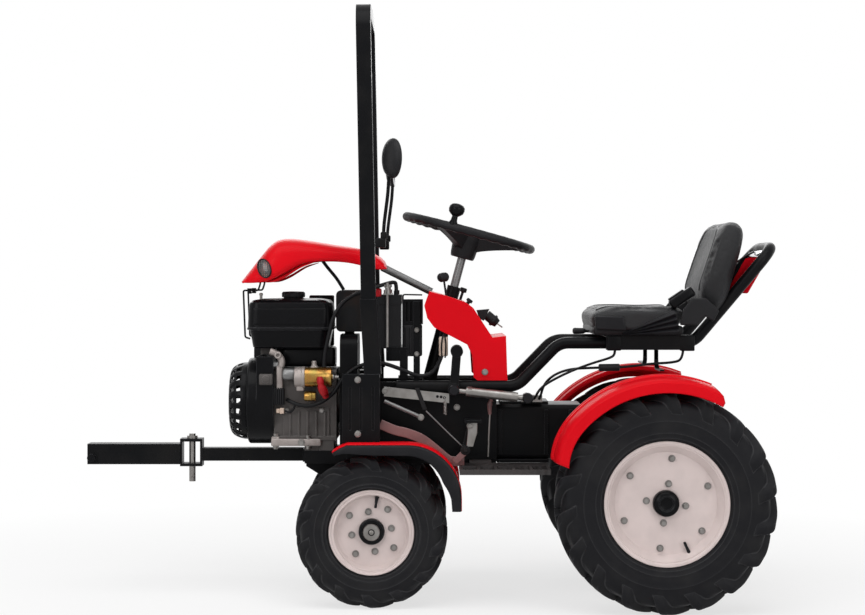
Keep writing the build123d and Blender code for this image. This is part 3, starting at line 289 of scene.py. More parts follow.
def rounded_box(low, high, radius, steps=4):
    """Box with round edges: a ball of that radius whose eight parts are drawn apart to the corners."""
    low, high = np.asarray(low, float), np.asarray(high, float)
    turn, x_sign, y_sign = corners(steps)
    quarter = np.linspace(0, pi / 2, steps)
    rise = np.concatenate([quarter - pi / 2, quarter])[:, None]
    z_sign = np.repeat([-1, 1], steps)[:, None]
    ball = np.stack([np.cos(rise) * np.cos(turn), np.cos(rise) * np.sin(turn), np.sin(rise) + 0 * turn], -1)
    sign = np.stack(np.broadcast_arrays(x_sign, y_sign, z_sign), -1)
    return solid((low + high) / 2 + sign * ((high - low) / 2 - radius) + radius * ball)


def rounded_rect(half_x, half_y, corner, steps=8):
    """Closed outline of a rectangle with round corners, as (x, y)."""
    turn, x_sign, y_sign = corners(steps)
    x = x_sign * (half_x - corner) + corner * np.cos(turn)
    y = y_sign * (half_y - corner) + corner * np.sin(turn)
    return np.column_stack([x, y])


def hex_bolt(axis, across=13.0, head=7.0, washer=9.5):
    """Six-sided head with a chamfered top on a round washer, standing on the origin."""
    half = across / 2
    six = [(0, 2), (half * 1.15, 2), (half * 1.15, head + 1), (half * 0.98, head + 2), (0, head + 2)]
    ring = [(0, 0), (washer, 0), (washer, 1.6), (washer - 0.6, 2.2), (0, 2.2)]
    return join(turned(six, (0, 0, 0), axis, 6), turned(ring, (0, 0, 0), axis, 20))


def helix(start, end, radius, turns, wire):
    """Coil spring: a circle carried round the line between two points while it moves along it."""
    start, end = np.asarray(start, float), np.asarray(end, float)
    u, v, _ = basis(end - start)
    t = np.linspace(0, 1, int(turns * 14))[:, None]
    swing = tau * turns * t
    path = start + t * (end - start) + radius * (np.cos(swing) * u + np.sin(swing) * v)
    return tube(path, wire, 8)


def leaned(surface, origin, axes):
    """Surface given in a local frame, placed at the origin along three axes."""
    points, faces = surface
    return np.asarray(origin, float) + points @ np.asarray(axes, float), faces


# Shaders


class Socket:
    """Shader socket that takes part in sums; each operation adds one Math node."""

    def __init__(self, shader, link):
        self.shader = shader
        self.link = link

    def _math(self, operation, first, second):
        return self.shader.node("ShaderNodeMath", {"operation": operation}, {0: first, 1: second})

    def __add__(self, other):
        return self._math("ADD", self, other)

    def __rsub__(self, other):
        return self._math("SUBTRACT", other, self)

    def __mul__(self, other):
        return self._math("MULTIPLY", self, other)

    __radd__ = __add__
    __rmul__ = __mul__


class Shader:
    """Node tree under construction."""

    def __init__(self, tree):
        self.tree = tree
        tree.nodes.clear()

    def node(self, kind, settings=None, sockets=None, output=0):
        """Adds a node: its settings first, then a value or a link for each socket named."""
        made = self.tree.nodes.new(kind)
        for key, value in (settings or {}).items():
            if key == "stops":
                self._stops(made.color_ramp.elements, value)
            else:
                setattr(made, key, value)
        for key, value in (sockets or {}).items():
            if isinstance(value, Socket):
                self.tree.links.new(value.link, made.inputs[key])
            else:
                made.inputs[key].default_value = value
        return Socket(self, made.outputs[output]) if made.outputs else None

    @staticmethod
    def _stops(elements, stops):
        """Places a ramp's two stops, each given as (position, grey)."""
        for element, (position, grey) in zip(elements, stops):
            element.position = position
            element.color = (grey, grey, grey, 1)

    def place(self, stretch=(1, 1, 1)):
        """Place on the object, stretched along its axes."""
        spot = self.node("ShaderNodeTexCoord", output="Object")
        return self.node("ShaderNodeMapping", {}, {"Vector": spot, "Scale": stretch})

    def noise(self, scale, detail=2.0, stretch=(1, 1, 1)):
        """Cloudy value about a half, with that many clouds to a metre."""
        sockets = {"Vector": self.place(stretch), "Scale": scale, "Detail": detail}
        return self.node("ShaderNodeTexNoise", {}, sockets)

    def cells(self, scale, feature="F1"):
        """Distance to the nearest of scattered points, or to the edge between two of them."""
        sockets = {"Vector": self.place(), "Scale": scale}
        return self.node("ShaderNodeTexVoronoi", {"feature": feature}, sockets)

    def wave(self, direction, scale):
        """Even bands across one of the object's axes."""
        sockets = {"Vector": self.place(), "Scale": scale}
        return self.node("ShaderNodeTexWave", {"bands_direction": direction}, sockets)

    def ramp(self, value, low, high):
        """Rises from nought at low to one at high."""
        return self.node("ShaderNodeValToRGB", {"stops": ((low, 0), (high, 1))}, {"Fac": value})

    def mix(self, first, second, share):
        """Colour between two colours."""
        sockets = {0: share, 6: self.rgba(first), 7: self.rgba(second)}
        return self.node("ShaderNodeMix", {"data_type": "RGBA"}, sockets, output=2)

    @staticmethod
    def rgba(colour):
        """Colour with a fourth number; a socket stays as it is."""
        return colour if isinstance(colour, Socket) else (*colour, 1)

    def edges(self, radius):
        """Normal of the surface as if its edges were rounded, and how far it turns from the plain one."""
        soft = self.node("ShaderNodeBevel", {"samples": 4}, {"Radius": radius})
        plain = self.node("ShaderNodeNewGeometry", output="Normal")
        product = {"operation": "DOT_PRODUCT"}
        same = self.node("ShaderNodeVectorMath", product, {0: soft, 1: plain}, output="Value")
        return soft, self.ramp(1 - same, 0.01, 0.12)

    def surface(self, colour, roughness, height=None, relief=0.0, normal=None, **constants):
        """Principled surface; height is a bump of that relief in metres, constants are socket values."""
        sockets = {"Base Color": self.rgba(colour), "Roughness": roughness}
        sockets.update({key.replace("_", " "): value for key, value in constants.items()})
        if height is not None:
            bump = {"Height": height, "Distance": relief}
            if normal is not None:
                bump["Normal"] = normal
            normal = self.node("ShaderNodeBump", {}, bump)
        if normal is not None:
            sockets["Normal"] = normal
        body = self.node("ShaderNodeBsdfPrincipled", {}, sockets)
        self.node("ShaderNodeOutputMaterial", {}, {"Surface": body})


def darker(colour, share):
    """Colour scaled towards black."""
    return tuple(channel * share for channel in colour)


def red_paint(s, c):
    """Gloss enamel: slow change of depth and faint orange peel under a clear coat."""
    drift = s.noise(5)
    colour = s.mix(c.red, darker(c.red, 0.8), drift)
    s.surface(colour, 0.3 + 0.1 * drift, s.noise(240, 1), 0.00005, Specular_IOR_Level=0.05, Coat_Weight=0.03)


def red_sheet(s, c):
    """The same enamel on folded sheet, with softened edges painted a paler red as a highlight."""
    drift = s.noise(5)
    soft, edge = s.edges(0.002)
    # painted highlight: edges mixed towards a paler red
    colour = s.mix(s.mix(c.red, darker(c.red, 0.8), drift), (0.8, 0.09, 0.09), edge * 0.5)
    peel = s.noise(240, 1)
    s.surface(colour, 0.26 + 0.1 * drift, peel, 0.00005, soft, Specular_IOR_Level=0.05, Coat_Weight=0.02)


def black_paint(s, c):
    """Powder coat: fine grain, dust in patches, and edges painted grey in patches, partly as rubbed wear and
    partly as a painted highlight.
    """
    dust = s.ramp(s.noise(9, 4), 0.45, 0.8)
    soft, edge = s.edges(0.0025)
    # edges painted lighter grey in patches: part rubbed wear, part painted highlight
    rubbed = edge * s.noise(60, 3)
    colour = s.mix(s.mix(c.black, (0.010, 0.0095, 0.0095), dust), (0.05, 0.05, 0.055), rubbed)
    s.surface(colour, 0.3 + 0.2 * dust, s.noise(700, 2), 0.00006, soft, Specular_IOR_Level=0.07)


def gloss_black(s, c):
    """Black stove enamel with a clear coat."""
    drift = s.noise(8)
    soft, edge = s.edges(0.003)
    base = s.mix(darker(c.black, 0.6), (0.006, 0.006, 0.007), drift)
    # painted highlight: edges mixed towards pale grey
    colour = s.mix(base, (0.07, 0.07, 0.075), edge * 0.7)
    peel = s.noise(300, 1)
    s.surface(colour, 0.2 + 0.14 * drift, peel, 0.00004, soft, Specular_IOR_Level=0.06, Coat_Weight=0.03)


def heat_black(s, c):
    """Dull black for hot parts, browned in patches."""
    patch = s.ramp(s.noise(14, 5), 0.5, 0.85)
    soft, _ = s.edges(0.003)
    colour = s.mix((0.012, 0.012, 0.013), (0.035, 0.022, 0.016), patch)
    s.surface(colour, 0.55 + 0.2 * patch, s.noise(420, 3), 0.0001, soft, Specular_IOR_Level=0.12)


def plastic_black(s, c):
    """Moulded plastic with a fine spark-eroded grain."""
    drift = s.noise(11)
    soft, edge = s.edges(0.002)
    base = s.mix((0.008, 0.008, 0.009), (0.015, 0.015, 0.0165), drift)
    # painted highlight: edges mixed towards grey
    colour = s.mix(base, (0.05, 0.05, 0.055), edge * 0.3)
    s.surface(colour, 0.4 + 0.12 * drift, s.noise(900, 2), 0.00008, soft, Specular_IOR_Level=0.14)


def rim_enamel(s, c):
    """Pale enamel, a little greyer where dust settles, over a faint peel."""
    dust = s.ramp(s.noise(18, 4), 0.4, 0.9)
    colour = s.mix(c.rim, darker(c.rim, 0.84), dust)
    s.surface(colour, 0.33 + 0.16 * dust, s.noise(260, 1), 0.00005, Specular_IOR_Level=0.3)


def tyre_rubber(s, c):
    """Rubber with a bloom of dust in clouds and a matt moulded skin."""
    dust = s.ramp(s.noise(16, 6), 0.42, 0.8)
    soft, edge = s.edges(0.005)
    base = s.mix(darker(c.rubber, 0.8), (0.022, 0.0215, 0.022), dust * 0.7)
    # painted highlight: edges of lugs and rings mixed towards grey
    colour = s.mix(base, (0.06, 0.06, 0.063), edge * 0.7)
    s.surface(colour, 0.52 + 0.22 * dust, s.noise(420, 4), 0.00025, soft, Specular_IOR_Level=0.12)


def soft_rubber(s, c):
    """Extruded rubber for edging, boots and pads."""
    drift = s.noise(22, 4)
    colour = s.mix(darker(c.rubber, 0.6), (0.014, 0.014, 0.016), drift)
    s.surface(colour, 0.3 + 0.2 * drift, s.noise(500, 2), 0.00006, Specular_IOR_Level=0.12)


def zinc(s, c):
    """Bright zinc plating: cool grey with a faint yellow-green drift and fine scratches."""
    drift = s.ramp(s.noise(40, 3), 0.3, 0.7)
    scratch = s.noise(900, 2, (1, 1, 0.06))
    colour = s.mix((0.26, 0.25, 0.24), (0.18, 0.17, 0.16), drift)
    s.surface(colour, 0.26 + 0.16 * scratch, scratch, 0.00004, Metallic=0.9)


def steel_tube(s, c):
    """Drawn steel tube, grey, with lines along its length."""
    line = s.noise(160, 3, (0.1, 1, 1))
    colour = s.mix((0.13, 0.13, 0.13), (0.22, 0.22, 0.22), line)
    s.surface(colour, 0.34 + 0.15 * line, line, 0.00003, Metallic=0.8)


def cast_alloy(s, c):
    """Die-cast alloy: grey skin with a sandy grain and darker oil in patches."""
    grain = s.noise(330, 4)
    oil = s.ramp(s.noise(20, 5), 0.5, 0.78)
    soft, edge = s.edges(0.003)
    # painted highlight: edges mixed towards pale grey
    colour = s.mix(s.mix((0.08, 0.073, 0.07), (0.03, 0.026, 0.025), oil), (0.2, 0.19, 0.18), edge * 0.6)
    s.surface(colour, 0.46 + 0.2 * grain, grain, 0.0003, soft, Metallic=0.5, Specular_IOR_Level=0.2)


def pale_alloy(s, c):
    """Bright die-cast brackets: pale warm grey with a sandy grain and oil in patches."""
    grain = s.noise(360, 4)
    oil = s.ramp(s.noise(24, 5), 0.5, 0.78)
    soft, edge = s.edges(0.002)
    # painted highlight: edges mixed towards pale grey
    colour = s.mix(s.mix((0.30, 0.265, 0.25), (0.16, 0.13, 0.12), oil), (0.45, 0.43, 0.41), edge * 0.6)
    s.surface(colour, 0.4 + 0.2 * grain, grain, 0.00025, soft, Metallic=0.6)


def gold_zinc(s, c):
    """Yellow passivated zinc with a rainbow drift from gold to green and rose."""
    drift = s.ramp(s.noise(34, 2), 0.35, 0.65)
    rose = s.ramp(s.noise(55, 2), 0.5, 0.8)
    colour = s.mix(s.mix(c.gold, (0.28, 0.2, 0.05), drift), (0.34, 0.12, 0.06), rose * 0.5)
    s.surface(colour, 0.22 + 0.12 * drift, s.noise(600, 1), 0.00003, Metallic=0.9)


def vinyl(s, c):
    """Seat vinyl: pebbled leather grain, rubbed paler in broad patches."""
    rubbed = s.ramp(s.noise(7, 3), 0.35, 0.75)
    pebble = s.ramp(s.cells(620, "DISTANCE_TO_EDGE"), 0.0, 0.25)
    grain = pebble * 0.6 + s.noise(90, 3)
    colour = s.mix(c.vinyl, darker(c.vinyl, 0.55), 1 - rubbed)
    s.surface(colour, 0.42 + 0.14 * rubbed, grain, 0.0004, Specular_IOR_Level=0.25)


def strap_with_painted_reflection(s, c):
    """Strap iron, scuffed; its pinkish brown is partly the iron's own colour and partly a painted reflection
    of the red bodywork.
    """
    scuff = s.ramp(s.noise(26, 5), 0.5, 0.8)
    # the strap colour's pink tint is a painted reflection of the red bodywork
    colour = s.mix(c.strap, (0.09, 0.05, 0.05), scuff)
    s.surface(colour, 0.32 + 0.25 * scuff, s.noise(380, 2), 0.00008, Coat_Weight=0.2)


def step_mat(s, c):
    """Anti-slip step: dark brown-black with pressed studs in rows."""
    stud = s.wave("X", 16)
    row = s.wave("Y", 16)
    wear = s.ramp(s.noise(12, 5), 0.45, 0.8)
    colour = s.mix((0.014, 0.011, 0.011), (0.035, 0.027, 0.026), wear)
    s.surface(colour, 0.5 + 0.2 * wear, stud * row, 0.0014)


def lamp_glass(s, c):
    """Dark lamp lens, ribbed, with a red-brown reflection behind it."""
    ribs = s.wave("X", 60)
    cross = s.wave("Z", 60)
    patch = s.ramp(s.noise(45, 3), 0.4, 0.62)
    colour = s.mix((0.008, 0.006, 0.006), (0.16, 0.05, 0.04), patch * ribs)
    s.surface(colour, 0.1 + 0.1 * cross, ribs * cross, 0.0008, Coat_Weight=0.6, Coat_Roughness=0.04)


def tail_glass(s, c):
    """Red lamp lens, deeper in patches."""
    deep = s.noise(30)
    colour = s.mix((0.62, 0.006, 0.014), (0.46, 0.004, 0.01), deep)
    s.surface(colour, 0.3 + 0.1 * deep, Specular_IOR_Level=0.0)


def red_rubber(s, c):
    """Soft red terminal cover."""
    drift = s.noise(60, 3)
    colour = s.mix((0.46, 0.006, 0.012), (0.28, 0.005, 0.009), drift)
    s.surface(colour, 0.38 + 0.2 * drift, s.noise(420, 2), 0.0001, Specular_IOR_Level=0.25)


def chrome(s, c):
    """Plated cup, bright, with a slight haze."""
    haze = s.ramp(s.noise(90, 3), 0.4, 0.8)
    s.surface(s.mix((0.78, 0.78, 0.8), (0.6, 0.6, 0.62), haze), 0.06 + 0.14 * haze, Metallic=1.0)


def mirror_glass(s, c):
    """Silvered glass with a faint smear."""
    smear = s.ramp(s.noise(18, 4), 0.5, 0.9)
    s.surface(s.mix((0.8, 0.81, 0.82), (0.7, 0.71, 0.72), smear), 0.02 + 0.1 * smear, Metallic=1.0)


def pale_plastic(s, c):
    """Cream wiring plug, a little yellowed."""
    aged = s.noise(70, 3)
    s.surface(s.mix((0.62, 0.5, 0.42), (0.45, 0.33, 0.25), aged), 0.4 + 0.15 * aged, s.noise(500, 1), 0.0001)


def sheath(s, c):
    """Cable sheath with a slight sheen."""
    drift = s.noise(70, 3)
    colour = s.mix((0.006, 0.006, 0.007), (0.014, 0.014, 0.015), drift)
    s.surface(colour, 0.34 + 0.18 * drift, s.noise(600, 1), 0.00005, Specular_IOR_Level=0.12)


# Slot of the record: the finishes that belong to it
SLOTS = {
    "red": (red_paint, red_sheet),
    "frame_black": (black_paint,),
    "engine_black": (gloss_black, heat_black),
    "plastic_black": (plastic_black, soft_rubber, sheath),
    "rim": (rim_enamel,),
    "tyre": (tyre_rubber,),
    "zinc": (zinc, steel_tube, chrome),
    "cast": (cast_alloy, pale_alloy),
    "gold": (gold_zinc,),
    "vinyl": (vinyl,),
    "strap": (strap_with_painted_reflection,),
    "tread": (step_mat,),
    "lens": (lamp_glass, mirror_glass, pale_plastic),
    "tail_red": (tail_glass, red_rubber),
}
# Finish: how it is made and its slot
FINISHES = {maker.__name__: (maker, slot) for slot, makers in SLOTS.items() for maker in makers}

# Solids whose shape stays, by finish
KEPT_NODES = {
    "black_paint": (
        "front_axle knuckle_left knuckle_right steering_arm steering_column main_frame side_plates "
        "roll_posts roll_hoop front_bar front_bar_tube belt_case gearbox rear_axle seat_tubes seat_base "
        "pedals rocker_arm front_hub_left front_hub_right rear_hub_left rear_hub_right"
    ),
    "zinc": "tie_rod hitch_pin battery_clamp drive_shaft control_links",
    "cast_alloy": "engine_mounts crankcase",
    "gloss_black": "fan_housing",
    "heat_black": "muffler",
    "plastic_black": "air_cleaner battery",
    "red_sheet": "dash_console",
    "step_mat": "footrests",
}


def material(finish):
    """The finish's material, made at its first use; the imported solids' own materials bear slot names."""
    name = f"{finish}_finish"
    found = bpy.data.materials.get(name)
    if found is None:
        found = bpy.data.materials.new(name)
        found.use_nodes = True
        FINISHES[finish][0](Shader(found.node_tree), bpy.context.scene.tractor_colours)
    return found


def piece(name, surface, finish, body="chassis", stands_for=(), closed=True, crease=40.0):
    """Object made from a surface: doubles merged, a closed skin turned outwards, riding on a body."""
    points, faces = surface
    mesh = bpy.data.meshes.new(name)
    mesh.vertices.add(len(points))
    mesh.vertices.foreach_set("co", (points * MM).astype(np.float32).ravel())
    mesh.loops.add(faces.size)
    mesh.loops.foreach_set("vertex_index", faces.astype(np.int32).ravel())
    mesh.polygons.add(len(faces))
    mesh.polygons.foreach_set("loop_start", np.arange(0, faces.size, 4, dtype=np.int32))
    mesh.update(calc_edges=True)
    work = bmesh.new()
    work.from_mesh(mesh)
    bmesh.ops.remove_doubles(work, verts=work.verts, dist=1e-6)
    bmesh.ops.dissolve_degenerate(work, dist=1e-7, edges=work.edges)
    if closed:
        bmesh.ops.recalc_face_normals(work, faces=work.faces)
    work.to_mesh(mesh)
    work.free()
    mesh.shade_smooth()
    mesh.set_sharp_from_angle(angle=radians(crease))
    obj = bpy.data.objects.new(name, mesh)
    bpy.context.scene.collection.objects.link(obj)
    mesh.materials.append(material(finish))
    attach(obj, body)
    if stands_for:
        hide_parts(*stands_for)
    return obj


def wall(obj, thick):
    """Gives an open skin its thickness, inwards."""
    modifier = obj.modifiers.new("Wall", "SOLIDIFY")
    modifier.thickness = thick
    modifier.offset = -1
    return obj


def softened(obj, width=1.0, segments=2):
    """Rounds the sharp edges of a piece."""
    modifier = obj.modifiers.new("Edges", "BEVEL")
    modifier.width = width * MM
    modifier.segments = segments
    modifier.limit_method = "ANGLE"
    modifier.angle_limit = radians(40)
    return obj


class Step:
    """What the operators share: each one runs its builders in order."""

    builders = ()

    def execute(self, context):
        for build in self.builders:
            build()
        return {"FINISHED"}


# Wheels

SIDES = (("left", 1), ("right", -1))
# Rim disc: depth of its face below the flange's edge, its wall and the radius of its bore
DISC_IN, DISC_WALL, DISC_BORE = 30.0, 4.0, 34.5
VALVE_RADII = (3.4, 3.9, 3.9, 3.4, 4.2, 4.2, 4.6, 5.2, 6.0)
# Axle: bolt circles as (radius, first angle, count), then the valve's angle, radius and length
RIM_BOLTS = {
    "front": (((73.5, 54, 4), (54, 9.5, 4)), (81, 80, 30)),
    "rear": (((119, 22.5, 6), (52, 82.6, 4)), (-65, 128, 34)),
}


def handed(surface, side):
    """Surface of the left side, or its mirror image on the right."""
    return surface if side > 0 else mirrored(surface)


def wheel_facts(axle):
    """Centre of the left wheel, tyre radius and width, rim flange radius and half the rim's width."""
    low, high = node_box(f"{axle}_tyre_left")
    rim_low, rim_high = node_box(f"{axle}_rim_left")
    tyre, rim = high - low, rim_high - rim_low
    return (low + high) / 2, tyre[2] / 2, tyre[1], rim[2] / 2, rim[1] / 2


def carcass(axle, lug):
    """Tyre body: one smooth profile from bead to bead, with raised rings on its sides, turned round."""
    centre, radius, width, flange, half_rim = wheel_facts(axle)
    base = radius - lug
    deep = base - flange
    half = [(flange - 12, half_rim - 5), (flange - 2, half_rim - 4.6), (flange + 0.8, half_rim - 4)]
    half += [(flange + 3.5, half_rim + 1.5), (flange + 0.12 * deep, 0.445 * width)]
    half += [(flange + 0.42 * deep, 0.475 * width), (flange + 0.74 * deep, 0.455 * width)]
    half += [(base - 11, 0.405 * width), (base - 4, 0.31 * width), (base, 0.15 * width)]
    profile = smooth_line(half + [(r, -y) for r, y in reversed(half)], 150)
    rings = np.array([0.08, 0.2, 0.5, 0.56]) * deep + flange
    swell = np.exp(-(((profile[:, :1] - rings) / 1.4) ** 2)).sum(1)
    profile[:, 1] += 1.7 * swell * np.sign(profile[:, 1])
    return turned(profile, centre, LEFT, 144, wrap=True)


def lug_bars(axle, lug, count, rows=15):
    """Bars from the middle of the tread over the shoulder and down the side. A bar's foot and tip each
    follow a curve of (Y, radius); it trails as it goes outwards, by as much as it moves across."""
    centre, radius, width, _, _ = wheel_facts(axle)
    foot = [(-0.04, -2), (0.14, -3), (0.3, -7), (0.4, -15), (0.452, -1.3 * lug), (0.46, -1.9 * lug)]
    tip = [(-0.04, 0), (0.14, -0.4), (0.33, -2.5), (0.44, -8), (0.496, -1.3 * lug), (0.488, -2.6 * lug)]
    foot = smooth_line(foot, rows) * (width, 1) + (0, radius - lug)
    tip = smooth_line(tip, rows) * (width, 1) + (0, radius)
    drift = np.cumsum(abs(np.diff(tip, axis=0, prepend=tip[:1])) @ (0.95, 0.32)) / radius
    spread = 0.15 * tau / count
    across = np.array([-1.45, -1.05, -0.85, 0.85, 1.05, 1.45]) * spread
    rise = np.array([0, 0.86, 1.0, 1.0, 0.86, 0])[:, None]
    section = foot[:, None] + rise * (tip - foot)[:, None]
    narrow = np.linspace(1.0, 0.8, rows)[:, None]
    bars = []
    for hand, offset in ((1, 0.0), (-1, 0.5)):
        start = tau * (np.arange(count) + offset) / count
        angle = start[:, None, None] + drift[:, None] + narrow * across
        r, y = section[..., 1], hand * section[..., 0] + 0 * angle
        points = np.stack([r * np.cos(angle), y, r * np.sin(angle)], -1)
        bars.append(solid(points + centre))
    return join(*bars)


def rim_shell(axle):
    """Rim: barrel, two rolled flanges and a dished disc as one closed profile turned round."""
    centre, _, _, flange, half = wheel_facts(axle)
    lip = 0.175 * flange
    face = half - DISC_IN
    outer = [(flange - 13.3, half - 4.2), (flange - 1, half - 4.2), (flange, half - 3), (flange, half - 1.4)]
    # slope from the flange to the disc: share of the lip, depth below the flange's edge
    slope = np.array([(0.22, 0.2), (0.32, 1.6), (0.4, 6), (0.62, 13), (0.86, 19.5), (0.98, 27), (1.05, 29.4)])
    outer += [(flange - 1.4, half), *((flange, half) - slope * (lip, 1))]
    outer += [(flange - 1.2 * lip, face), (DISC_BORE + 1, face), (DISC_BORE, face - 1)]
    inner = [(DISC_BORE, face - DISC_WALL), (flange - 1.2 * lip, face - DISC_WALL)]
    inner += [(flange - 0.9 * lip, face - 2), (flange - 17, half - 44), (flange - 17, 6 - half)]
    inner += [(flange - 14, 1 - half), (flange - 7, -half), (flange - 1.4, -half), (flange, 1.4 - half)]
    inner += [(flange, 3 - half), (flange - 1, 4.2 - half), (flange - 13.3, 4.2 - half)]
    return turned(outer + inner, centre, LEFT, 128, wrap=True)


def around(centre, radius, first, count, y):
    """Places on a circle beside the wheel, the angle counted from the rear upwards."""
    turn = radians(first) + tau * np.arange(count) / count
    ring = np.column_stack([-np.cos(turn), 0 * turn, np.sin(turn)]) * radius
    return np.asarray(centre) + ring + (0, y, 0)


def wheel_cap(axle, foot):
    """Middle of the wheel: a ring with a washer and nut in front, a dished dome at the rear."""
    if axle == "front":
        ring = [(24, 12), (26, 15.5), (32, 15.5), (34.3, 13), (34.3, 0), (24, 0)]
        nut = [(0, 16), (22.7, 16), (22.7, 22), (21, 24), (9, 24), (8.5, 22)]
        nut += [(6.2, 22), (6, 26), (4.5, 27), (0, 27)]
        return (
            ("hub_ring", turned(ring, foot, LEFT, wrap=True), "gloss_black"),
            ("hub_nut", turned(nut, foot, LEFT), "zinc"),
        )
    dome = [(0, 14), (15, 14), (17, 15), (18, 20), (21, 21.5), (28, 19.5), (33, 15)]
    dome += [(34.4, 9), (34.4, 0.5), (0, 0.5)]
    return (("hub_dome", turned(dome, foot, LEFT), "gloss_black"),)


def tyres():
    """Tyres with their lugs; the right ones are mirror images."""
    sizes = bpy.context.scene.tractor_sizes
    for axle, lug, count in (
        ("front", sizes.front_lug_height / MM, sizes.front_lugs),
        ("rear", sizes.rear_lug_height / MM, sizes.rear_lugs),
    ):
        surface = join(carcass(axle, lug), lug_bars(axle, lug, count))
        for hand, side in SIDES:
            node, body = f"{axle}_tyre_{hand}", f"{axle}_wheel_{hand}"
            piece(f"{node}_skin", handed(surface, side), "tyre_rubber", body, [node], crease=28)


def rims():
    """Rims with bolt heads outside, nuts inside, a valve and the cap in the middle."""
    along = np.linspace(0, 1, len(VALVE_RADII))[:, None]
    for axle, (circles, (angle, reach, stem)) in RIM_BOLTS.items():
        centre, *_, half = wheel_facts(axle)
        face = half - DISC_IN
        rings = [around(centre, radius, first, count, face) for radius, first, count in circles]
        heads = [copies(hex_bolt(LEFT), spots) for spots in rings]
        tails = [copies(hex_bolt(-LEFT, 13, 9, 7), spots - LEFT * DISC_WALL) for spots in rings]
        inward = around(centre, reach - stem / 2, angle, 1, face + 12)
        outward = around(centre, reach + stem / 2, angle, 1, face + 7)
        valve = tube(inward + along * (outward - inward), VALVE_RADII, 14)
        for hand, side in SIDES:
            rim, body = f"{axle}_rim_{hand}", f"{axle}_wheel_{hand}"
            piece(f"{rim}_shell", handed(rim_shell(axle), side), "rim_enamel", body, [rim])
            piece(f"{rim}_bolts", handed(join(*heads, *tails), side), "zinc", body)
            piece(f"{axle}_valve_{hand}", handed(valve, side), "soft_rubber", body)
            for part, surface, finish in wheel_cap(axle, centre + LEFT * face):
                piece(f"{axle}_{part}_{hand}", handed(surface, side), finish, body)


class TRACTOR_OT_tyres(Step, bpy.types.Operator):
    """Build the four tyres with their lugs"""

    bl_idname = "tractor.tyres"
    bl_label = "Tyres"
    builders = (tyres,)


class TRACTOR_OT_rims(Step, bpy.types.Operator):
    """Build the rims with their bolts, valves and hub caps"""

    bl_idname = "tractor.rims"
    bl_label = "Rims"
    builders = (rims,)


# Hood and lamps

# Hood in side view from tail to nose: top (X, Z), skirt (X, Z), half width
HOOD_ROWS = np.array(
    [
        (118, 913, 119, 910, 90),
        (129, 935, 140, 908, 95),
        (154, 952, 180, 917, 99),
        (198, 967, 222, 926, 104),
        (262, 977, 270, 931, 111),
        (330, 988, 318, 930, 120),
        (385, 994, 356, 922, 128),
        (421, 990, 396, 900, 133),
        (446, 972, 428, 884, 134),
        (470, 943, 452, 875, 130),
        (500, 905, 486, 871, 120),
        (525, 874, 525, 871, 104),
    ],
    float,
)
# Nose: where its corners start to draw back, over what length and by how much
NOSE_START, NOSE_RUN, NOSE_DRAW = 440.0, 86.0, 8.0
# Lamp: place in side view, half width and half height, turn in degrees, the way it looks
LAMP_SPOT = (452.0, 909.5)
LAMP_HALF = (17.5, 25.5)
LAMP_TURN = 25.0
LAMP_OUT = (0.3, 0.94, 0.12)


def hood_skin(rows=70, cols=45):
    """Arch across the hood: at each station the half width times a flattened sine goes across, and a
    flattened cosine goes up from skirt to top; the nose is drawn back at its corners."""
    lines = smooth_line(HOOD_ROWS, rows)[:, None, :]
    psi = np.linspace(pi / 2, -pi / 2, cols)
    across = flattened(np.sin(psi), 0.5)
    rise = np.cos(psi).clip(0) ** 0.6
    x = lines[..., 2] + (lines[..., 0] - lines[..., 2]) * rise
    z = lines[..., 3] + (lines[..., 1] - lines[..., 3]) * rise
    nose = ((x - NOSE_START) / NOSE_RUN).clip(0, 1) ** 2
    return np.stack([x - NOSE_DRAW * nose * abs(across) ** 3, lines[..., 4] * across, z], -1)


def hood():
    """Moulded hood: an open skin with a wall."""
    skin = piece("hood_skin", grid(hood_skin()), "red_paint", stands_for=["hood"], closed=False, crease=60)
    wall(skin, bpy.context.scene.tractor_sizes.hood_wall)


def hood_lip(count=24):
    """Return flange under each skirt, set in from it."""
    line = smooth_line(HOOD_ROWS[5:10, 2:4], count)
    deep = np.sin(np.linspace(0.15, pi - 0.15, count))[:, None] * (0, 1)
    lip = slab(line - 4.5 * deep - (0, 0.5), line - 12 * deep - (0, 1), (112, 118))
    softened(piece("hood_lip", both_sides(lip), "red_paint"))


def hood_lamps():
    """Oval lens, dark bezel and bowl on each cheek of the hood."""
    skin = hood_skin()
    left = skin[:, : skin.shape[1] // 2].reshape(-1, 3)
    near = np.argmin(np.hypot(left[:, 0] - LAMP_SPOT[0], left[:, 2] - LAMP_SPOT[1]))
    spot = left[near] + (0, 0.5, 0)
    out = unit(np.array(LAMP_OUT))
    side = unit(np.cross(UP, out))
    turn = radians(LAMP_TURN)
    long = cos(turn) * np.cross(out, side) - sin(turn) * side
    short = np.cross(long, out)
    ring = circle(48)[:, None]
    oval = np.cos(ring) * short * LAMP_HALF[0] + np.sin(ring) * long * LAMP_HALF[1]
    share = np.linspace(1, 0, 9)[:, None, None]
    lens = spot + oval * share + out * (3.5 * (1 - share**2))
    bowl = np.concatenate([[spot + oval - out * 14], lens])
    piece("headlamp_lenses", both_sides(solid(bowl)), "lamp_glass", stands_for=["headlamps"])
    section = ((1.0, -4), (1.1, -4), (1.12, 1.2), (1.06, 2.6), (0.99, 1.6))
    bezel = np.stack([spot + oval * size + out * height for size, height in section])
    piece("headlamp_bezels", both_sides(grid(bezel, wrap_rows=True, wrap_cols=True)), "soft_rubber")


